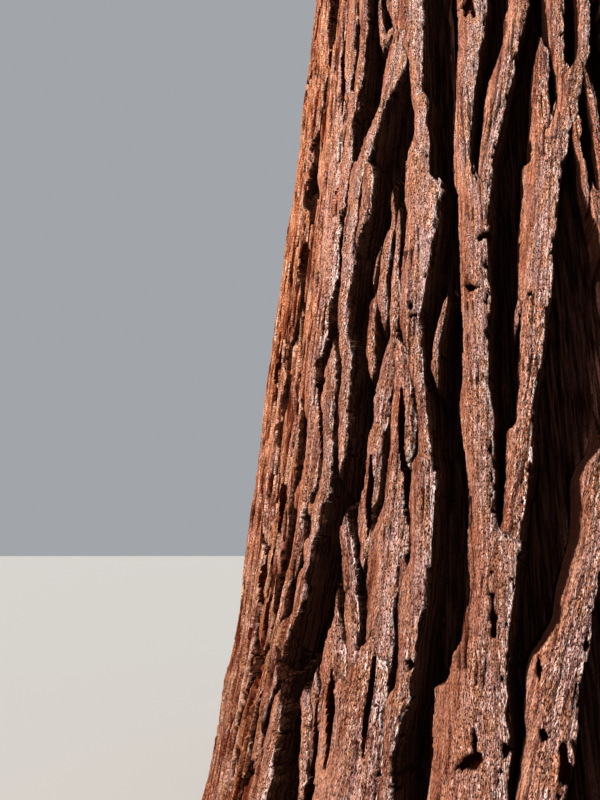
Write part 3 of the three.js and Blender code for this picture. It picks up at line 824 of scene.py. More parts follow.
def lane_ridges(lane, first_number):
    """Ridges one above another up a lane of the trunk, pointed and overlapping. Some lean into the next."""
    random = seeded_random(LANE_SEED + lane)
    spacing = FULL_TURN / LANES
    middle = (lane + off_centre(random, LANE_DRIFT)) * spacing
    shown = SECTOR_START < middle % FULL_TURN < SECTOR_END
    start, stagger = (SECTOR_TOP, SECTOR_STAGGER) if shown else (LOWEST_START, -START_STAGGER)
    height = start + stagger * random()
    along = np.linspace(0, 1, RIDGE_STATIONS)
    ridges = []
    while height < TRUNK_TOP - 1:
        length = between(random, *RIDGE_LENGTHS)
        lean = off_centre(random, spacing) * (STRONG_LEAN if random() < STRONG_CHANCE else SLIGHT_LEAN)
        foot = middle + off_centre(random, RIDGE_DRIFT * spacing)
        breadth = between(random, *RIDGE_BREADTHS)
        heights = height + length * along
        sway = np.array([off_centre(random, RIDGE_SWAY * spacing) for _ in along])
        turns = foot + lean * smooth_step(along) + sway
        radii = along_profile(TRUNK_PROFILE, np.maximum(heights, 0))
        uneven = np.array([between(random, *RIDGE_UNEVEN) for _ in along])
        halves = 0.5 * breadth * spacing * radii * uneven
        halves[[0, -1]] = 0
        stations = pointed(list(heights), list(turns), list(halves))
        ridges.append(Ridge(first_number + len(ridges), *stations, DEEPEST_RIDGE * random()))
        height += length - between(random, *RIDGE_OVERLAPS)
    return ridges


def shards_beside(ridge, random):
    """Thin broken strands that run along both sides of a ridge, more on its right."""
    shards = []
    height = ridge.heights[0] + SHARD_CLEARANCE * random()
    while height < ridge.heights[-1] - SHARD_CLEARANCE:
        side = 1 if random() < SHARDS_RIGHT else -1
        length = SHARD_LEAST + SHARD_MORE * random() ** SHARD_CROWDING
        gap = between(random, *SHARD_GAPS)
        half = between(random, *SHARD_HALVES)
        drift = SHARD_DRIFT * (random() - SHARD_INWARD)
        heights = height + length * SHARD_STATIONS
        radii = along_profile(TRUNK_PROFILE, np.maximum(heights, 0))
        slim = radii / REFERENCE_RADIUS
        beside = along_profile(list(zip(ridge.heights, ridge.halves)), heights) + (gap + half) * slim
        turns = along_profile(list(zip(ridge.heights, ridge.turns)), heights)
        turns = turns + side * (beside + drift * SHARD_STATIONS * slim) / radii
        stations = pointed(list(heights), list(turns), list(half * slim * SHARD_BREADTHS))
        number = ridge.number + SHARD_NUMBERS + len(shards)
        shards.append(Ridge(number, *stations, between(random, *SHARD_DEPTHS)))
        height += SHARD_SPACING * between(random, *SHARD_SPREAD)
    return shards


def all_ridges():
    ridges = photographed_ridges(PHOTO_PLATES)
    shown = len(ridges)
    for lane in range(LANES):
        ridges += lane_ridges(lane, len(ridges))
    shards = []
    for i, ridge in enumerate(ridges):
        if i >= shown and ridge.heights[0] < SHARD_TOP:
            shards += shards_beside(ridge, seeded_random(SHARD_SEED + i))
    return ridges + shards


def stand_of(ridges, turns, heights):
    """How far the bark stands at each place, from 0 on a furrow's floor to 1 on a crest, whether that is
    the flat top of a ridge, the place across the ridge and the grain that follows the ridge."""
    shape = (len(heights), len(turns))
    radius = along_profile(TRUNK_PROFILE, np.maximum(heights, 0))[:, None]
    slim = radius / REFERENCE_RADIUS
    wide_turns = np.broadcast_to(turns, shape)
    wide_heights = np.broadcast_to(heights[:, None], shape)
    ragged = FRAY * trunk_noise("fray", wide_turns, wide_heights)
    ragged += FINE_FRAY * trunk_noise("fine_fray", wide_turns, wide_heights)
    sway = SHARD_SWAY * trunk_noise("shard_sway", wide_turns, wide_heights)
    shards, _ = chips("shards", wide_turns * REFERENCE_RADIUS + sway, wide_heights)
    ragged = (ragged + SHARD_FRAY * shards) * slim
    uneven = UNEVEN * trunk_noise("uneven", wide_turns, wide_heights)
    wall = WALL * slim * (1 + WALL_UNEVEN * trunk_noise("wall", wide_turns, wide_heights))
    wall *= 1 - FLANK_STEEPER * flank_share(wide_turns)
    stand = np.zeros(shape)
    top = np.zeros(shape)
    across = np.zeros(shape)
    grain = np.stack([wide_turns * REFERENCE_RADIUS, wide_heights, np.zeros(shape)], axis=-1)
    for ridge in ridges:
        low, high = np.searchsorted(heights, (ridge.heights[0], ridge.heights[-1]))
        if low >= high:
            continue
        rows = slice(low, high)
        middle = along_profile(list(zip(ridge.heights, ridge.turns)), heights[rows])[:, None]
        half = along_profile(list(zip(ridge.heights, ridge.halves)), heights[rows])[:, None]
        reach = (half + WALL_REACH * WALL * slim[rows]) / radius[rows]
        from_end = np.minimum(heights[rows] - ridge.heights[0], ridge.heights[-1] - heights[rows])[:, None]
        grain_middle = ridge.grain_turns(heights[rows])[:, None]
        for lap in (-FULL_TURN, 0, FULL_TURN):
            left = np.searchsorted(turns, (middle + lap - reach).min())
            right = np.searchsorted(turns, (middle + lap + reach).max())
            if left >= right:
                continue
            place = (rows, slice(left, right))
            offset = (turns[None, left:right] - middle - lap) * radius[rows]
            on_right = offset > 0
            frayed = np.clip(half / RAGGED_HALF, LEAST_RAGGED, 1) * np.where(on_right, RIGHT_FRAY, LEFT_FRAY)
            breadth = wall[place] * wall_share(ridge.halves) * np.where(on_right, 1, LEFT_WALL)
            beyond = np.abs(offset) - half - TOP_EDGE / 2
            plain = (1 - np.clip(beyond / breadth, 0, 1)) ** WALL_CURVE
            beyond = beyond + np.maximum(ragged[place] * frayed, -PROTRUSION)
            fall = (1 - np.clip(beyond / breadth, 0, 1)) ** WALL_CURVE
            fall = np.clip(fall, plain - NOTCH, plain + NOTCH)
            rounded = np.clip(offset / np.maximum(half, LEAST_ROUNDED), -1, 1) ** 2
            rounding = CREST_ROUNDING * np.abs(half) * rounded
            sinking = END_SINK * (1 - smooth_step(from_end / END_FADE)) + uneven[place] * (-1) ** ridge.number
            found = fall * (1 - ridge.sunk - rounding - sinking)
            better = found > stand[place]
            stand[place] = np.where(better, found, stand[place])
            top[place] = np.where(better, np.clip(-beyond / TOP_EDGE, 0, 1), top[place])
            offset_share = np.clip(offset / np.maximum(half, LEAST_ACROSS), -2, 2)
            across[place] = np.where(better, offset_share, across[place])
            down = np.sign(offset) * FURROW_DEPTH * slim[rows] * (1 - found)
            along = (turns[None, left:right] - grain_middle - lap) * radius[rows] + down
            own = ridge.number * RIDGE_SHIFT
            fibres = np.stack(np.broadcast_arrays(along, heights[rows, None], own), axis=-1)
            grain[place] = np.where(better[..., None], fibres, grain[place])
    return stand, top, across, grain


def photographed_holes(turns, heights):
    """1 inside the holes that the photo shows in the ridges, and 0 outside them."""
    columns, rows, widths, lengths = np.array(list(PHOTO_HOLES.values()), float).T
    hole_turns, hole_heights = on_trunk(columns, rows)
    inside = np.zeros(turns.shape)
    uneven = 1 + HOLE_UNEVEN * trunk_noise("hole_edges", turns, heights)
    for turn, height, width, length in zip(hole_turns, hole_heights, widths, lengths):
        aside = (turns - turn) * REFERENCE_RADIUS / (width * HALF_CENTIMETRE)
        above = (heights - height) / (length * HALF_CENTIMETRE)
        inside = np.maximum(inside, fade_in(np.hypot(aside, above) * uneven, HOLE_REACH, HOLE_CORE))
    return inside


def bark_surface(ridges, turns, heights):
    """Points of the bark over a sheet of turns and heights, with what its material reads."""
    stand, top, across, grain = stand_of(ridges, turns, heights)
    slits = stand_of(photographed_ridges(PHOTO_SLITS, SLIT_INSET), turns, heights)[0]
    stand = stand - SLIT_DEPTH * slits * stand
    shape = stand.shape
    wide_turns = np.broadcast_to(turns, shape)
    wide_heights = np.broadcast_to(heights[:, None], shape)
    sway = BACK_SWAY * trunk_noise("back_sway", wide_turns, wide_heights)
    backs, back_gaps = chips("backs", wide_turns * REFERENCE_RADIUS + sway, wide_heights)
    stand = np.maximum(stand, (FLOOR_CHIP + FLOOR_CHIP_UNEVEN * backs) * (1 - back_gaps))
    slim = (along_profile(TRUNK_PROFILE, heights) / REFERENCE_RADIUS)[:, None]
    lane = grain[..., 2] * PATTERN_SHIFT
    wander = WANDER * grain_noise("wander", grain) + FINE_WANDER * grain_noise("fine_wander", grain)
    strips, strip_gaps = chips("strips", grain[..., 0] + STRIP_WANDER * wander, grain[..., 1], lane)
    flakes, flake_gaps = chips("flakes", grain[..., 0] + wander, grain[..., 1], lane)
    fibres = grain_noise("fibres", grain, lane)
    scales = grain_noise("scales", grain, lane)
    flank = flank_share(wide_turns)
    depth = FURROW_DEPTH * (1 + DEPTH_UNEVEN * trunk_noise("depth", wide_turns, wide_heights))
    depth = depth * (1 - FLANK_SHALLOWER * flank)
    swells = trunk_noise("swells", wide_turns, wide_heights)
    swells = swells + FLANK_SWELLS * flank * trunk_noise("flank_swells", wide_turns, wide_heights)
    rim = fade_in(across, 0.1, 0.9)
    holes = fade_in(grain_noise("holes", grain, lane) + 0.3 * rim - 0.15 * flank, 0.95, 1.1)
    holes = np.maximum(holes, photographed_holes(wide_turns, wide_heights)) * fade_in(stand, 0.7, 0.9)
    on_top = fade_in(stand, 0.6, 0.9)
    opened = smooth_step(2.5 * (strips - 0.4 + 0.7 * flank + 0.3 * rim)) * on_top
    edge = fade_in(np.abs(across), 0.35, 0.95)
    step = STRIP_STEP + FLANK_STEP * flank + EDGE_STEP * edge
    detail = step * strips - (CRACK_DEPTH + FLANK_CRACK_DEPTH * flank) * strip_gaps * opened
    detail += FINE_RELIEF * (flakes + fibres + scales)
    detail += SWELL_RELIEF * swells - GAP_DEPTH * flake_gaps - HOLE_DEPTH * holes
    inward = depth * (1 - stand) + LEAST_DEPTH - detail * (0.3 + 0.7 * stand)
    radius = bark_radius(wide_heights, wide_turns) - np.maximum(inward, 0) * slim
    points = trunk_axis(wide_heights) + outward(wide_turns) * radius[..., None]
    # Painted shade: near black colour in holes, open cracks, flake gaps and slits, and one column beside each
    # slit.
    cracks = (0.6 + 0.4 * flank) * strip_gaps * opened
    hollow = np.maximum(holes, np.maximum(cracks, 0.3 * flake_gaps * on_top))
    shaded_slits = np.maximum(slits, np.maximum(np.roll(slits, 1, axis=1), np.roll(slits, -1, axis=1)))
    hollow = np.maximum(hollow, smooth_step(shaded_slits / 0.3))
    return points, stand, top, across, grain, hollow


def bark_pieces(name, ridges, turns, heights, parts, material):
    """Bark over a grid, as pieces one above another that share their edge rows. Gives its first row."""
    points, stand, top, across, grain, hollow = bark_surface(ridges, turns, heights)
    cuts = np.linspace(0, len(heights) - 1, parts + 1).round().astype(int)
    for part, (low, high) in enumerate(zip(cuts[:-1], cuts[1:])):
        rows = slice(low, high + 1)
        faces = sheet_faces(high + 1 - low, len(turns))
        piece = mesh_object(f"{name}_{part + 1}", points[rows].reshape(-1, 3), faces, [material])
        faded = (1 - FLANK_ABOVE) * smooth_step((heights[rows] - FLANK_FADES_FROM) / FLANK_FADES_OVER)
        flank = (1 - faded)[:, None] * flank_share(turns)
        add_numbers(piece, stand=stand[rows], top=top[rows], across=across[rows])
        add_numbers(piece, hollow=hollow[rows], flank=flank)
        add_vector(piece, "grain", grain[rows].reshape(-1, 3))
        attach(piece, "root")
        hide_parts("trunk")
    return points[0]


class Nodes:
    """A short way to wire a material."""

    def __init__(self, name, roughness):
        self.material = bpy.data.materials.new(name)
        self.material.use_nodes = True
        self.tree = self.material.node_tree
        self.shader = self.tree.nodes["Principled BSDF"]
        self.shader.inputs["Roughness"].default_value = roughness
        self.shader.inputs["Specular IOR Level"].default_value = 0.2

    def add(self, kind, **settings):
        node = self.tree.nodes.new(kind)
        for key, value in settings.items():
            setattr(node, key, value)
        return node

    def put(self, socket, value):
        if isinstance(value, bpy.types.NodeSocket):
            self.tree.links.new(value, socket)
        else:
            socket.default_value = value

    def attribute(self, name, output="Fac"):
        return self.add("ShaderNodeAttribute", attribute_name=name).outputs[output]

    def math(self, operation, first, second=0.0, clamp=False):
        node = self.add("ShaderNodeMath", operation=operation, use_clamp=clamp)
        self.put(node.inputs[0], first)
        self.put(node.inputs[1], second)
        return node.outputs[0]

    def times(self, first, second):
        return self.math("MULTIPLY", first, second)

    def vector(self, operation, first, second):
        node = self.add("ShaderNodeVectorMath", operation=operation)
        self.put(node.inputs[0], first)
        self.put(node.inputs[1], second)
        return node.outputs[0]

    def noise(self, vector, scale, detail=4.0, roughness=0.6, output=0):
        node = self.add("ShaderNodeTexNoise")
        node.inputs["Scale"].default_value = 1.0
        node.inputs["Detail"].default_value = detail
        node.inputs["Roughness"].default_value = roughness
        self.put(node.inputs["Vector"], self.vector("MULTIPLY", vector, scale))
        return node.outputs[output]

    def warped(self, vector, scale, reach):
        """A vector pushed about by noise, so that what is laid along it wanders."""
        push = self.vector("SUBTRACT", self.noise(vector, scale, 3, 0.6, 1), (0.5, 0.5, 0.5))
        return self.vector("ADD", vector, self.vector("MULTIPLY", push, reach))

    def parts(self, vector):
        """The x, y and z of a vector."""
        node = self.add("ShaderNodeSeparateXYZ")
        self.put(node.inputs[0], vector)
        return node.outputs

    def ramp(self, value, low, high, start=0.0, end=1.0):
        node = self.add("ShaderNodeMapRange", interpolation_type="SMOOTHSTEP")
        self.put(node.inputs["Value"], value)
        for socket, number in zip(("From Min", "From Max", "To Min", "To Max"), (low, high, start, end)):
            node.inputs[socket].default_value = number
        return node.outputs[0]

    def mix(self, share, first, second, blend="MIX"):
        node = self.add("ShaderNodeMix", data_type="RGBA", blend_type=blend, clamp_result=True)
        self.put(node.inputs[0], share)
        self.put(node.inputs[6], first)
        self.put(node.inputs[7], second)
        return node.outputs[2]

    def bump(self, height, distance, strength=1.0, under=None):
        node = self.add("ShaderNodeBump")
        node.inputs["Strength"].default_value = strength
        node.inputs["Distance"].default_value = distance
        self.put(node.inputs["Height"], height)
        if under is not None:
            self.put(node.inputs["Normal"], under)
        return node.outputs[0]


def bark_patterns(nodes):
    """What the bark's colours read: the mesh's own numbers, and noise along the grain."""
    place = nodes.attribute("grain", "Vector")
    grain = nodes.warped(place, (14, 7, 9), (0.008, 0.03, 0))
    flank = nodes.attribute("flank")
    dashes = nodes.noise(grain, (150, 26, 9), 2)
    return SimpleNamespace(
        stand=nodes.attribute("stand"),
        top=nodes.attribute("top"),
        across=nodes.attribute("across"),
        hollow=nodes.attribute("hollow"),
        flank=flank,
        height=nodes.parts(place)[1],
        streaks=nodes.noise(grain, (70, 3.2, 9)),
        strands=nodes.noise(grain, (38, 1.8, 9)),
        tint=nodes.noise(grain, (20, 5, 9), 3),
        broad=nodes.noise(grain, (17, 1.1, 9), 3),
        dashes=nodes.mix(flank, dashes, nodes.noise(grain, (60, 9, 9), 3)),
        pits=nodes.noise(place, (190, 80, 9), 1, 0.5),
        specks=nodes.noise(place, (300, 150, 9), 1, 0.5),
        patches=nodes.noise(grain, (6, 1.6, 9), 3),
        own_tone=nodes.noise(place, (1.5, 0.35, 9), 2),
    )


def crest_colour(nodes, on, shade):
    """Orange fibres with golden and lilac tints, redder on the sunny flank, brighter up the trunk and darker
    low down, partly the bark's own tone and partly painted shade of dappled shadow.
    """
    colour = nodes.mix(nodes.ramp(on.streaks, 0.34, 0.64), shade["rust"], shade["orange"])
    weathered = nodes.mix(nodes.ramp(on.tint, 0.42, 0.58), shade["golden"], shade["lilac"])
    on_face = nodes.ramp(on.across, -0.7, 0.2, 0.15, 0.75)
    colour = nodes.mix(nodes.times(on_face, nodes.ramp(on.own_tone, 0.36, 0.6, 0.4, 1.0)), colour, weathered)
    sunny = nodes.mix(nodes.ramp(on.strands, 0.38, 0.6), shade["flank_red"], shade["flank_orange"])
    sunny = nodes.mix(nodes.ramp(on.strands, 0.57, 0.66, 0, 0.7), sunny, shade["flank_pale"])
    ruddy = nodes.times(on.flank, nodes.ramp(on.own_tone, 0.56, 0.42, 0.7, 0.95))
    colour = nodes.mix(ruddy, colour, sunny)
    # Darker low on the trunk and lowest on the flank's foot: partly the bark's own tone, partly painted shade
    # of dappled shadow.
    height_tone_and_shade = nodes.times(nodes.ramp(on.height, 0.6, 5.5, 0.88, 1.26), nodes.ramp(on.flank, 0, 1, 1.0, 0.96))
    low_flank_tone_and_shade = nodes.times(on.flank, nodes.ramp(on.height, 2.0, 0.3, 0, 0.2))
    return nodes.mix(1.0, colour, nodes.math("SUBTRACT", height_tone_and_shade, low_flank_tone_and_shade), "MULTIPLY")


def broken_fibres(nodes, on, shade, colour):
    """Dashes and specks, paler towards the right rims, then dark streaks, lines, and painted shade in pits."""
    in_patches = nodes.ramp(on.patches, 0.36, 0.6, 0.5, 1.0)
    lively = nodes.times(nodes.ramp(on.across, -0.9, 0.2, 0.35, 1.0), in_patches)
    lively = nodes.times(lively, nodes.ramp(on.flank, 0, 1, 1.0, 0.95))
    colour = nodes.mix(lively, colour, nodes.ramp(on.dashes, 0.34, 0.66, 0.4, 1.4), "MULTIPLY")
    colour = nodes.mix(lively, colour, nodes.ramp(on.specks, 0.36, 0.64, 0.4, 1.45), "MULTIPLY")
    rim = nodes.ramp(on.across, 0.45, 1.0)
    pale = nodes.ramp(nodes.math("ADD", on.dashes, nodes.times(rim, 0.13)), 0.58, 0.65)
    pale = nodes.times(pale, nodes.ramp(on.flank, 0, 1, 1.0, 0.25))
    colour = nodes.mix(nodes.times(pale, lively), colour, shade["pale"])
    streaked = nodes.times(nodes.ramp(on.broad, 0.46, 0.36), nodes.ramp(on.flank, 0, 1, 0.45, 0.95))
    colour = nodes.mix(streaked, colour, shade["streak"])
    lined = nodes.times(nodes.ramp(on.strands, 0.45, 0.38), nodes.ramp(on.flank, 0, 1, 0.35, 0.95))
    colour = nodes.mix(lined, colour, shade["line"])
    # Painted shade in fine pits on the crests.
    shaded_pits = nodes.times(nodes.ramp(on.pits, 0.47, 0.4), nodes.ramp(lively, 0.1, 0.7, 0.5, 0.95))
    shaded_pits = nodes.times(shaded_pits, nodes.ramp(on.flank, 0, 1, 1.0, 0.75))
    return nodes.mix(shaded_pits, colour, shade["pit_shade"])


def furrow_colour(nodes, on, shade, colour):
    """The crests' colour, with painted shade below them: dark walls, painted shadow on the left walls, and
    near black floors, slits and holes.
    """
    # Painted shade on the furrow walls, mixed in below the crests by the top share.
    wall = nodes.mix(nodes.ramp(on.streaks, 0.42, 0.58), shade["dark_wall_shade"], shade["wall"])
    # Painted shadow: the left walls take a near black colour.
    wall = nodes.mix(nodes.ramp(on.across, -0.2, 0.2, 0.85, 0), wall, shade["left_wall_shadow"])
    # Painted shade, redder, on the walls of the flank.
    reddish = nodes.times(on.flank, nodes.ramp(on.streaks, 0.4, 0.6, 0, 0.45))
    wall = nodes.mix(reddish, wall, shade["flank_wall_shade"])
    colour = nodes.mix(nodes.ramp(on.top, 0.2, 0.7), wall, colour)
    # Painted shade: near black furrow floors where the bark stands low.
    floor = nodes.mix(nodes.ramp(on.streaks, 0.4, 0.62), shade["dark_floor_shade"], shade["floor"])
    colour = nodes.mix(nodes.ramp(on.stand, 0.1, 0.4, 1.0, 0.0), colour, floor)
    # Painted shade in holes, cracks and slits.
    return nodes.mix(nodes.ramp(on.hollow, 0.2, 0.75), colour, shade["hollow"])


def bark_material():
    """Fibrous cinnamon-red bark: orange crests with pale, broken fibres towards their right rims, and painted
    shade in the furrows: dark walls and near black floors."""
    nodes = Nodes("bark_red", 0.95)
    nodes.shader.inputs["Specular IOR Level"].default_value = 0.0
    on = bark_patterns(nodes)
    shade = {name: (*colour, 1) for name, colour in BARK_COLOURS.items()}
    colour = broken_fibres(nodes, on, shade, crest_colour(nodes, on, shade))
    nodes.put(nodes.shader.inputs["Base Color"], furrow_colour(nodes, on, shade, colour))
    normal = nodes.bump(on.streaks, FIBRE_BUMP, 0.8)
    normal = nodes.bump(on.dashes, FIBRE_BUMP, 0.8, normal)
    nodes.put(nodes.shader.inputs["Normal"], nodes.bump(on.pits, PIT_BUMP, 0.9, normal))
    return nodes.material


def limb_material():
    """Thin scaly bark of the boughs and twigs."""
    nodes = Nodes("bark_limb", 0.85)
    place = nodes.add("ShaderNodeTexCoord").outputs["Object"]
    scales = nodes.noise(place, (9, 9, 9), 5)
    blotches = nodes.noise(place, (1.2, 1.2, 1.2), 3)
    colour = nodes.mix(nodes.ramp(scales, 0.35, 0.65), LIMB_DARK, LIMB_RED)
    colour = nodes.mix(nodes.ramp(blotches, 0.5, 0.7, 0, 0.5), colour, LIMB_GREY)
    nodes.put(nodes.shader.inputs["Base Color"], colour)
    nodes.put(nodes.shader.inputs["Normal"], nodes.bump(scales, SCALE_BUMP, 0.8))
    return nodes.material


def plain_material(name, colour, roughness):
    nodes = Nodes(name, roughness)
    nodes.shader.inputs["Base Color"].default_value = (*colour, 1)
    return nodes.material


class MassSpace:
    """The space of one mass: an ellipsoid with one axis pointing away from the trunk."""

    def __init__(self, centre, angle, half_size):
        self.centre = centre
        self.axes = np.array([outward(angle), outward(angle + math.pi / 2), UP])
        self.half_size = np.array(half_size)

    def point(self, directions, share):
        """The points that directions of (out, side, up) reach at a share of the space's size."""
        return self.centre + (np.asarray(directions) * self.half_size * share) @ self.axes

    def depth(self, points):
        """0 at the centre and 1 on the surface."""
        return np.linalg.norm((points - self.centre) @ self.axes.T / self.half_size, axis=-1)


def mass_space_at(height, angle, shares):
    reach = float(along_profile(CROWN_PROFILE, height))
    half_size = np.array(shares) * reach
    centre = trunk_axis(height) + outward(angle) * (reach - half_size[0] * SPRAY_REACH)
    return MassSpace(centre, angle, half_size)


def even_directions(count, turn):
    """Directions spread evenly over a sphere, in (out, side, up) of a mass. The first is straight up."""
    index = np.arange(count)
    up = 1 - 2 * index / (count - 0.5)
    flat = np.sqrt(1 - up * up)
    angle = index * GOLDEN_ANGLE + turn
    return np.stack([flat * np.cos(angle), flat * np.sin(angle), up], axis=-1)


def limb_root(height, angle):
    return trunk_axis(height) + outward(angle) * ROOT_SHARE * crest_radius(height, angle)


def bezier(points, at):
    """Points along a Bezier curve, by repeated blends between its control points."""
    at = np.asarray(at, float)[..., None]
    points = [np.asarray(point, float) for point in points]
    while len(points) > 1:
        points = [a * (1 - at) + b * at for a, b in zip(points, points[1:])]
    return points[0]


def bough_controls(space, angle, share):
    tip = space.point(BOUGH_TIP, 1)
    run = tip - trunk_axis(tip[2])
    length = math.hypot(run[0], run[1])
    start = limb_root(tip[2] - (ROOT_DROP + ROOT_DROP_ABOVE * share) * length, angle)
    dip = start + outward(angle) * DIP_OUT * length - UP * DIP_DOWN * (1 - share) * length
    rise = (BEND_DOWN - BEND_DOWN_ABOVE * share) * length
    bend = tip - outward(angle) * BEND_IN * length - UP * rise
    return [start, dip, bend, tip]


@dataclass
class Mass:
    name: str
    space: MassSpace
    start: np.ndarray
    direction: np.ndarray
    stem_radius: float
    bough: list = field(default_factory=list)
    bough_radius: float = 0.0
    skirt: float = 0.0


def all_masses():
    masses = []
    for i in range(BOUGHS):
        share = i / (BOUGHS - 1)
        random = seeded_random(BOUGH_SEED + i)
        height = LOWEST_MASS + (HIGHEST_MASS - LOWEST_MASS) * share**MASS_CROWDING
        angle = i * GOLDEN_ANGLE + off_centre(random, BOUGH_TURN)
        space = mass_space_at(height, angle, MASS_SHARE)
        bough = bough_controls(space, angle, share)
        line = bezier(bough, np.linspace(0, 1, BOUGH_STEPS))
        length = np.linalg.norm(np.diff(line, axis=0), axis=1).sum()
        root = BOUGH_RADIUS + BOUGH_RADIUS_PER_METRE * length
        direction = unit(bough[3] - bough[2])
        masses.append(Mass(f"{i + 1:02d}", space, bough[3], direction, STEM_SHARE * root, bough, root))
    for i in range(TUFTS):
        height = LOWEST_TUFT + (HIGHEST_TUFT - LOWEST_TUFT) * i / (TUFTS - 1)
        angle = (BOUGHS + i) * GOLDEN_ANGLE + TUFT_TURN
        space = mass_space_at(height, angle, TUFT_SHARE)
        start = limb_root(height - TUFT_DROP, angle)
        direction = unit(outward(angle) + TUFT_CLIMB * UP)
        masses.append(Mass(f"{BOUGHS + i + 1:02d}", space, start, direction, TUFT_STEM))
    centre = trunk_axis(TREE_HEIGHT - TOP_HALF_SIZE[2] * SPRAY_REACH)
    space = MassSpace(centre, 0.0, TOP_HALF_SIZE)
    masses.append(Mass("top", space, trunk_axis(TRUNK_TOP), UP, TOP_STEM, skirt=TOP_SKIRT))
    return masses


def tubes(paths, radii, sides, across):
    """Round limbs along paths of (limb, ring, point). A direction across each limb sets its first side."""
    limbs, rings, _ = paths.shape
    tangents = unit(np.gradient(paths, axis=1))
    side = unit(np.cross(tangents, across[:, None, :]))
    other = np.cross(tangents, side)
    turn = FULL_TURN * np.arange(sides) / sides
    cos, sin = np.cos(turn)[:, None], np.sin(turn)[:, None]
    around = side[:, :, None] * cos + other[:, :, None] * sin
    points = paths[:, :, None] + around * radii[..., None]
    at = np.arange(limbs * rings * sides).reshape(limbs, rings, sides)
    after = np.roll(at, -1, axis=2)
    faces = np.stack([at[:, :-1], after[:, :-1], after[:, 1:], at[:, 1:]], axis=-1)
    return points.reshape(-1, 3), faces.reshape(-1, 4)


def joined(parts):
    """Several (points, faces) as one."""
    points, faces, start = [], [], 0
    for part_points, part_faces in parts:
        points.append(part_points)
        faces.append(part_faces + start)
        start += len(part_points)
    return np.concatenate(points), np.concatenate(faces)


def any_across(tangents):
    """A direction that is clear of each tangent."""
    steep = np.abs(tangents[:, 2]) > 0.8
    return np.where(steep[:, None], np.array([1.0, 0, 0]), UP)


def bough_parts(mass):
    """A bough with furrowed, scaly bark, thick at its collar."""
    along = np.linspace(0, 1, BOUGH_RINGS)
    path = bezier(mass.bough, along)[None]
    root, tip = mass.bough_radius, mass.stem_radius
    radius = root + (tip - root) * along + COLLAR_SHARE * root * np.exp(-along / COLLAR_LENGTH)
    turn, wide_along = np.meshgrid(np.arange(BOUGH_SIDES) / BOUGH_SIDES, along)
    around, lengthwise, furrow_depth, seed = BOUGH_FURROWS
    furrows = value_noise(turn * around, wide_along * lengthwise, seed + int(mass.name), period=around)
    around, lengthwise, knob_height, seed = BOUGH_KNOBS
    knobs = value_noise(turn * around, wide_along * lengthwise, seed + int(mass.name), period=around)
    radii = radius[:, None] * (BOUGH_BARK - furrow_depth * np.abs(furrows) + knob_height * knobs)
    return tubes(path, radii[None], BOUGH_SIDES, mass.space.axes[1][None])


def spray_templates():
    """Flat sprays one long, growing along x, with side shoots in turn. Each blade is one kite."""
    random = seeded_random(SPRAY_SEED)
    templates = []
    for _ in range(SPRAY_KINDS):
        blades = [(0.0, 0.0, 1.0, 0.0, LEADER_WIDTH)]
        hand = 1
        for i in range(SHOOTS):
            at = FIRST_SHOOT + SHOOT_SPACING * i
            length = SHOOT_LENGTH - SHOOT_SHORTER * abs(at - LONGEST_AT)
            length *= between(random, *SHOOT_UNEVEN)
            lean = hand * (SHOOT_LEAN + off_centre(random, LEAN_SPREAD))
            lift = LIFT_SPREAD * (random() - LIFT_DOWN)
            blades.append((at, lift, length, lean, SHOOT_WIDTH))
            hand = -hand
        corners = []
        for at, lift, length, lean, width in blades:
            level = math.cos(lift)
            forward = np.array([math.cos(lean) * level, math.sin(lean) * level, math.sin(lift)])
            tilted = [off_centre(random, BLADE_TILT), off_centre(random, BLADE_TILT), 1]
            sideways = unit(np.cross(forward, tilted))
            root = np.array([at, 0, 0])
            middle = root + forward * length * BLADE_MIDDLE
            corners += [root, middle - sideways * width, root + forward * length, middle + sideways * width]
        templates.append(corners)
    return np.array(templates)


def place_sprays(templates, choice, roots, forwards, lengths, rolls):
    """Each spray's template turned to its own direction and roll, as points and quads."""
    side = unit(np.cross(forwards, any_across(forwards)))
    top = np.cross(side, forwards)
    cos, sin = np.cos(rolls)[:, None], np.sin(rolls)[:, None]
    axes = np.stack([forwards, side * cos + top * sin, top * cos - side * sin], axis=1)
    points = np.einsum("nvk,nkx->nvx", templates[choice], axes) * lengths[:, None, None] + roots[:, None]
    faces = np.arange(points.shape[0] * points.shape[1]).reshape(-1, 4)
    return points.reshape(-1, 3), faces


def sagging(starts, ends, share):
    """The middle control points of limbs that sag by a share of their length."""
    return (starts + ends) / 2 - UP * share * np.linalg.norm(ends - starts, axis=1)[:, None]


def curved_limbs(starts, middles, ends, radii, sides):
    """Limbs on curves from starts to ends, with one radius for each ring."""
    along = np.linspace(0, 1, len(radii))
    paths = np.stack([bezier(controls, along) for controls in zip(starts, middles, ends)])
    radii = np.broadcast_to(radii, paths.shape[:2])
    return tubes(paths, radii[..., None], sides, any_across(unit(ends - starts)))


def twig_forks(random):
    """Where the main twigs leave the stem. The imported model's source also draws each twig's roll, and a hand
    for some, so those draws are passed over."""
    forks = []
    for i in range(TWIGS_PER_MASS):
        forks.append(between(random, LOWEST_FORK, 1))
        random()
        if i % 4 == 1:
            random()
    return forks


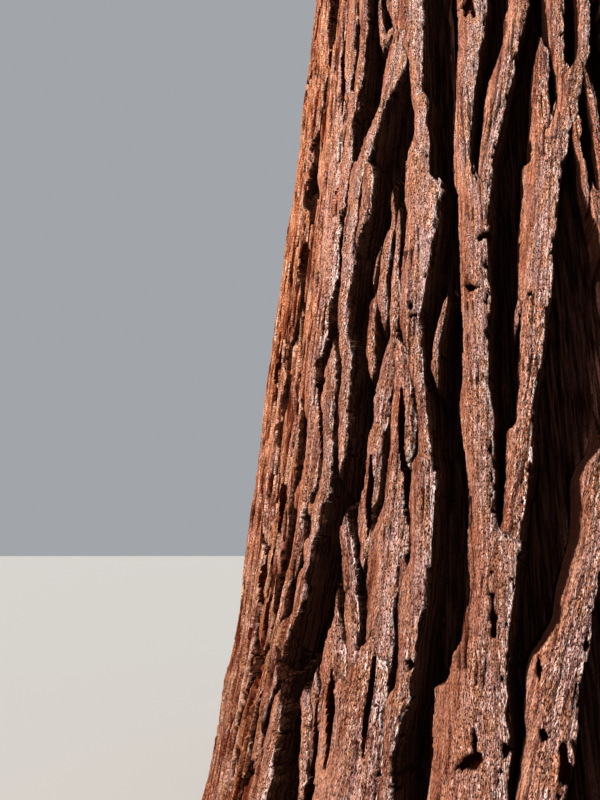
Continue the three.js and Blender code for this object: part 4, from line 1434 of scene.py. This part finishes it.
def grow_sprays(mass, twigs, nearest, others, templates, draws):
    """Sprays along the fine twigs, and the tone of each blade. One that would leave its mass is skipped."""
    space = mass.space
    starts, _, ends = twigs
    count = FINE_TWIGS * SPRAYS_PER_TWIG
    host = np.repeat(np.arange(FINE_TWIGS), SPRAYS_PER_TWIG)
    roots = bezier([points[host] for points in twigs], draws.uniform(*SPRAY_STARTS, count))
    growth = unit(ends - starts)[host]
    scatter = unit(draws.normal(size=(count, 3)))
    forwards = growth * GROWTH_PULL + unit(roots - space.centre) * OUTWARD_PULL
    forwards = unit(forwards + scatter * SCATTER_PULL + UP * LIGHT_PULL)
    share_of_length = min(1.0, SPRAY_SHORTEST + SPRAY_LONGER * np.min(space.half_size))
    lengths = draws.uniform(*SPRAY_LENGTHS, count) * share_of_length
    tips = roots + forwards * lengths[:, None]
    own = space.depth(tips)
    below = np.clip((space.centre - tips)[:, 2] / space.half_size[2] / own, 0, 1)
    clear = own < 1 + mass.skirt * below
    for other in others:
        clear &= other.depth(tips) > own
    lobe_tone = draws.choice(3, TWIGS_PER_MASS, p=LOBE_ODDS)[nearest][host]
    twig_tone = draws.choice(5, FINE_TWIGS, p=TWIG_ODDS)[host]
    own_tone = draws.choice(5, count, p=SPRAY_ODDS)
    share = draws.random(count)
    tone = np.where(share < LOBE_TONED, lobe_tone, np.where(share < TWIG_TONED, twig_tone, own_tone))
    # Painted shade: sprays deep inside the mass take the dark tone.
    tone = np.where((own < SHADED_INSIDE) & (tone != BROWN_LEAF), SHADED_LEAF, tone)
    choice = draws.integers(0, len(templates), count)
    rolls = draws.uniform(0, FULL_TURN, count)
    keep = np.flatnonzero(clear)
    sprays = place_sprays(templates, choice[keep], roots[keep], forwards[keep], lengths[keep], rolls[keep])
    return sprays, np.repeat(tone[keep], templates.shape[1] // 4)


def grow_mass(mass, number, others, templates):
    """The twigs and sprays of one mass: its stem, its main twigs, and finer twigs that spread out from
    those, longer where they follow a main twig, so that the mass has lobes."""
    random = seeded_random(FOLIAGE_SEED + number)
    draws = np.random.default_rng(FOLIAGE_SEED + number)
    space = mass.space
    end = space.point(STEM_END, 1)
    bend = mass.start + mass.direction * STEM_RISE * np.linalg.norm(mass.start - end)
    stem = [mass.start, bend, end]
    along = np.linspace(0, 1, STEM_RINGS)
    stem_radii = mass.stem_radius * (1 - STEM_TAPER * along)[None, :, None]
    stem_part = tubes(bezier(stem, along)[None], stem_radii, STEM_SIDES, space.axes[1][None])

    turn = FULL_TURN * random()
    directions = even_directions(TWIGS_PER_MASS, turn)
    starts = bezier(stem, twig_forks(random))
    ends = space.point(directions, TWIG_REACH)
    middles = sagging(starts, ends, TWIG_SAG)
    radii = mass.stem_radius * TWIG_SHARE * (1 - TWIG_TAPER * np.linspace(0, 1, TWIG_RINGS))
    main_part = curved_limbs(starts, middles, ends, radii, TWIG_SIDES)

    targets = even_directions(FINE_TWIGS, turn + 1)
    nearness = targets @ directions.T
    nearest = np.argmax(nearness, axis=1)
    forks = draws.uniform(*FINE_FORKS, FINE_TWIGS)
    hosts = zip(starts[nearest], middles[nearest], ends[nearest])
    fine_starts = np.stack([bezier(controls, fork) for controls, fork in zip(hosts, forks)])
    lobe = fade_in(nearness.max(axis=1), *LOBE_EDGES)
    reach = LOBE_VALLEY + (LOBE_CREST - LOBE_VALLEY) * lobe + draws.uniform(*FINE_UNEVEN, FINE_TWIGS)
    reach = reach[:, None] * (1 + mass.skirt * np.clip(-targets[:, 2:], 0, 1))
    fine_ends = space.point(targets, reach)
    fine_twigs = fine_starts, sagging(fine_starts, fine_ends, FINE_SAG), fine_ends
    radii = mass.stem_radius * FINE_SHARE * (1 - FINE_TAPER * np.linspace(0, 1, FINE_RINGS))
    fine_part = curved_limbs(*fine_twigs, radii, FINE_SIDES)

    sprays, blade_tones = grow_sprays(mass, fine_twigs, nearest, others, templates, draws)
    return joined([stem_part, main_part, fine_part]), sprays, blade_tones


def build_bark():
    ridges = all_ridges()
    material = bark_material()
    rows, columns = FRONT_GRID
    front_turns = np.linspace(FRONT_START, FRONT_END, columns)
    front = bark_pieces("bark_front", ridges, front_turns, np.linspace(0, FRONT_TOP, rows), 5, material)
    rows, columns = BACK_GRID
    back_turns = np.linspace(FRONT_END - BACK_OVERLAP, FRONT_START + FULL_TURN + BACK_OVERLAP, columns)
    back = bark_pieces("bark_back", ridges, back_turns, np.linspace(0, FRONT_TOP, rows), 2, material)
    rim = np.concatenate([front, back[1:-1]])
    at = np.arange(len(rim))
    faces = np.stack([np.full(len(rim), len(rim)), np.roll(at, -1), at], axis=-1)
    wood = plain_material("cut_wood", *CUT_WOOD)
    cut = mesh_object("ground_cut", np.concatenate([rim, trunk_axis(0)[None]]), faces, [wood], smooth=False)
    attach(cut, "root")
    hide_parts("trunk")
    rows, columns = UPPER_GRID
    start = FRONT_TOP - UPPER_OVERLAP
    upper_heights = start + (TRUNK_TOP - start) * np.linspace(0, 1, rows) ** UPPER_CROWDING
    bark_pieces("bark_upper", ridges, np.linspace(0, FULL_TURN, columns), upper_heights, 3, material)


def build_crown():
    limb = limb_material()
    masses = all_masses()
    boughs = joined([bough_parts(mass) for mass in masses if mass.bough])
    piece = mesh_object("bough_bark", *boughs, [limb])
    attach(piece, "root")
    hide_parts(*(f"bough_{i + 1:02d}" for i in range(BOUGHS)))
    tones = [plain_material(name, *look) for name, look in LEAF_TONES.items()]
    templates = spray_templates()
    all_twigs = []
    group, group_tones, group_names, made = [], [], [], 0
    for number, mass in enumerate(masses):
        others = [other.space for other in masses if other is not mass]
        twigs, sprays, blade_tones = grow_mass(mass, number, others, templates)
        all_twigs.append(twigs)
        group.append(sprays)
        group_tones.append(blade_tones)
        group_names.append("foliage_" + mass.name)
        blades = sum(len(faces) for _, faces in group)
        if blades > MOST_BLADES or mass is masses[-1]:
            made += 1
            points, faces = joined(group)
            leaf_tones = np.concatenate(group_tones)
            sheet = mesh_object(f"sprays_{made}", points, faces, tones, leaf_tones, smooth=False)
            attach(sheet, "root")
            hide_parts(*group_names)
            group, group_tones, group_names = [], [], []
    wood = mesh_object("twigs", *joined(all_twigs), [limb])
    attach(wood, "root")
    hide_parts(*("foliage_" + mass.name for mass in masses))


def build_studio():
    """A pale floor, soft light and the camera at the photo's viewing angle."""
    scene = bpy.context.scene
    pale = plain_material("pale_floor", *PALE_FLOOR)
    turns = np.linspace(0, FULL_TURN, FLOOR_SIDES, endpoint=False)
    edge = outward(turns) * FLOOR_RADIUS
    floor = mesh_object("floor", edge, np.arange(FLOOR_SIDES)[None], [pale], smooth=False)
    sun = bpy.data.objects.new("sun", bpy.data.lights.new("sun", "SUN"))
    sun.data.energy = SUN_ENERGY
    sun.data.angle = SUN_SPREAD
    sun.data.color = SUN_COLOUR
    toward = Vector(math.cos(SUN_CLIMB) * outward(SUN_TURN) + math.sin(SUN_CLIMB) * UP)
    sun.rotation_euler = toward.to_track_quat("Z", "Y").to_euler()
    scene.collection.objects.link(sun)
    world = bpy.data.worlds.new("pale_sky")
    world.use_nodes = True
    world.node_tree.nodes["Background"].inputs["Color"].default_value = SKY_COLOUR
    world.node_tree.nodes["Background"].inputs["Strength"].default_value = SKY_STRENGTH
    scene.world = world
    scene.view_settings.view_transform = "Standard"
    camera = bpy.data.objects.new("camera", bpy.data.cameras.new("camera"))
    camera.location = Vector(EYE * K)
    camera.rotation_euler = (math.pi / 2 + PITCH, 0, 0)
    camera.data.sensor_width = SENSOR
    camera.data.lens = FOCAL_PIXELS * SENSOR / PHOTO_HEIGHT
    scene.collection.objects.link(camera)
    scene.camera = camera


build_studio()
build_bark()
build_crown()

bpy.context.view_layer.update()
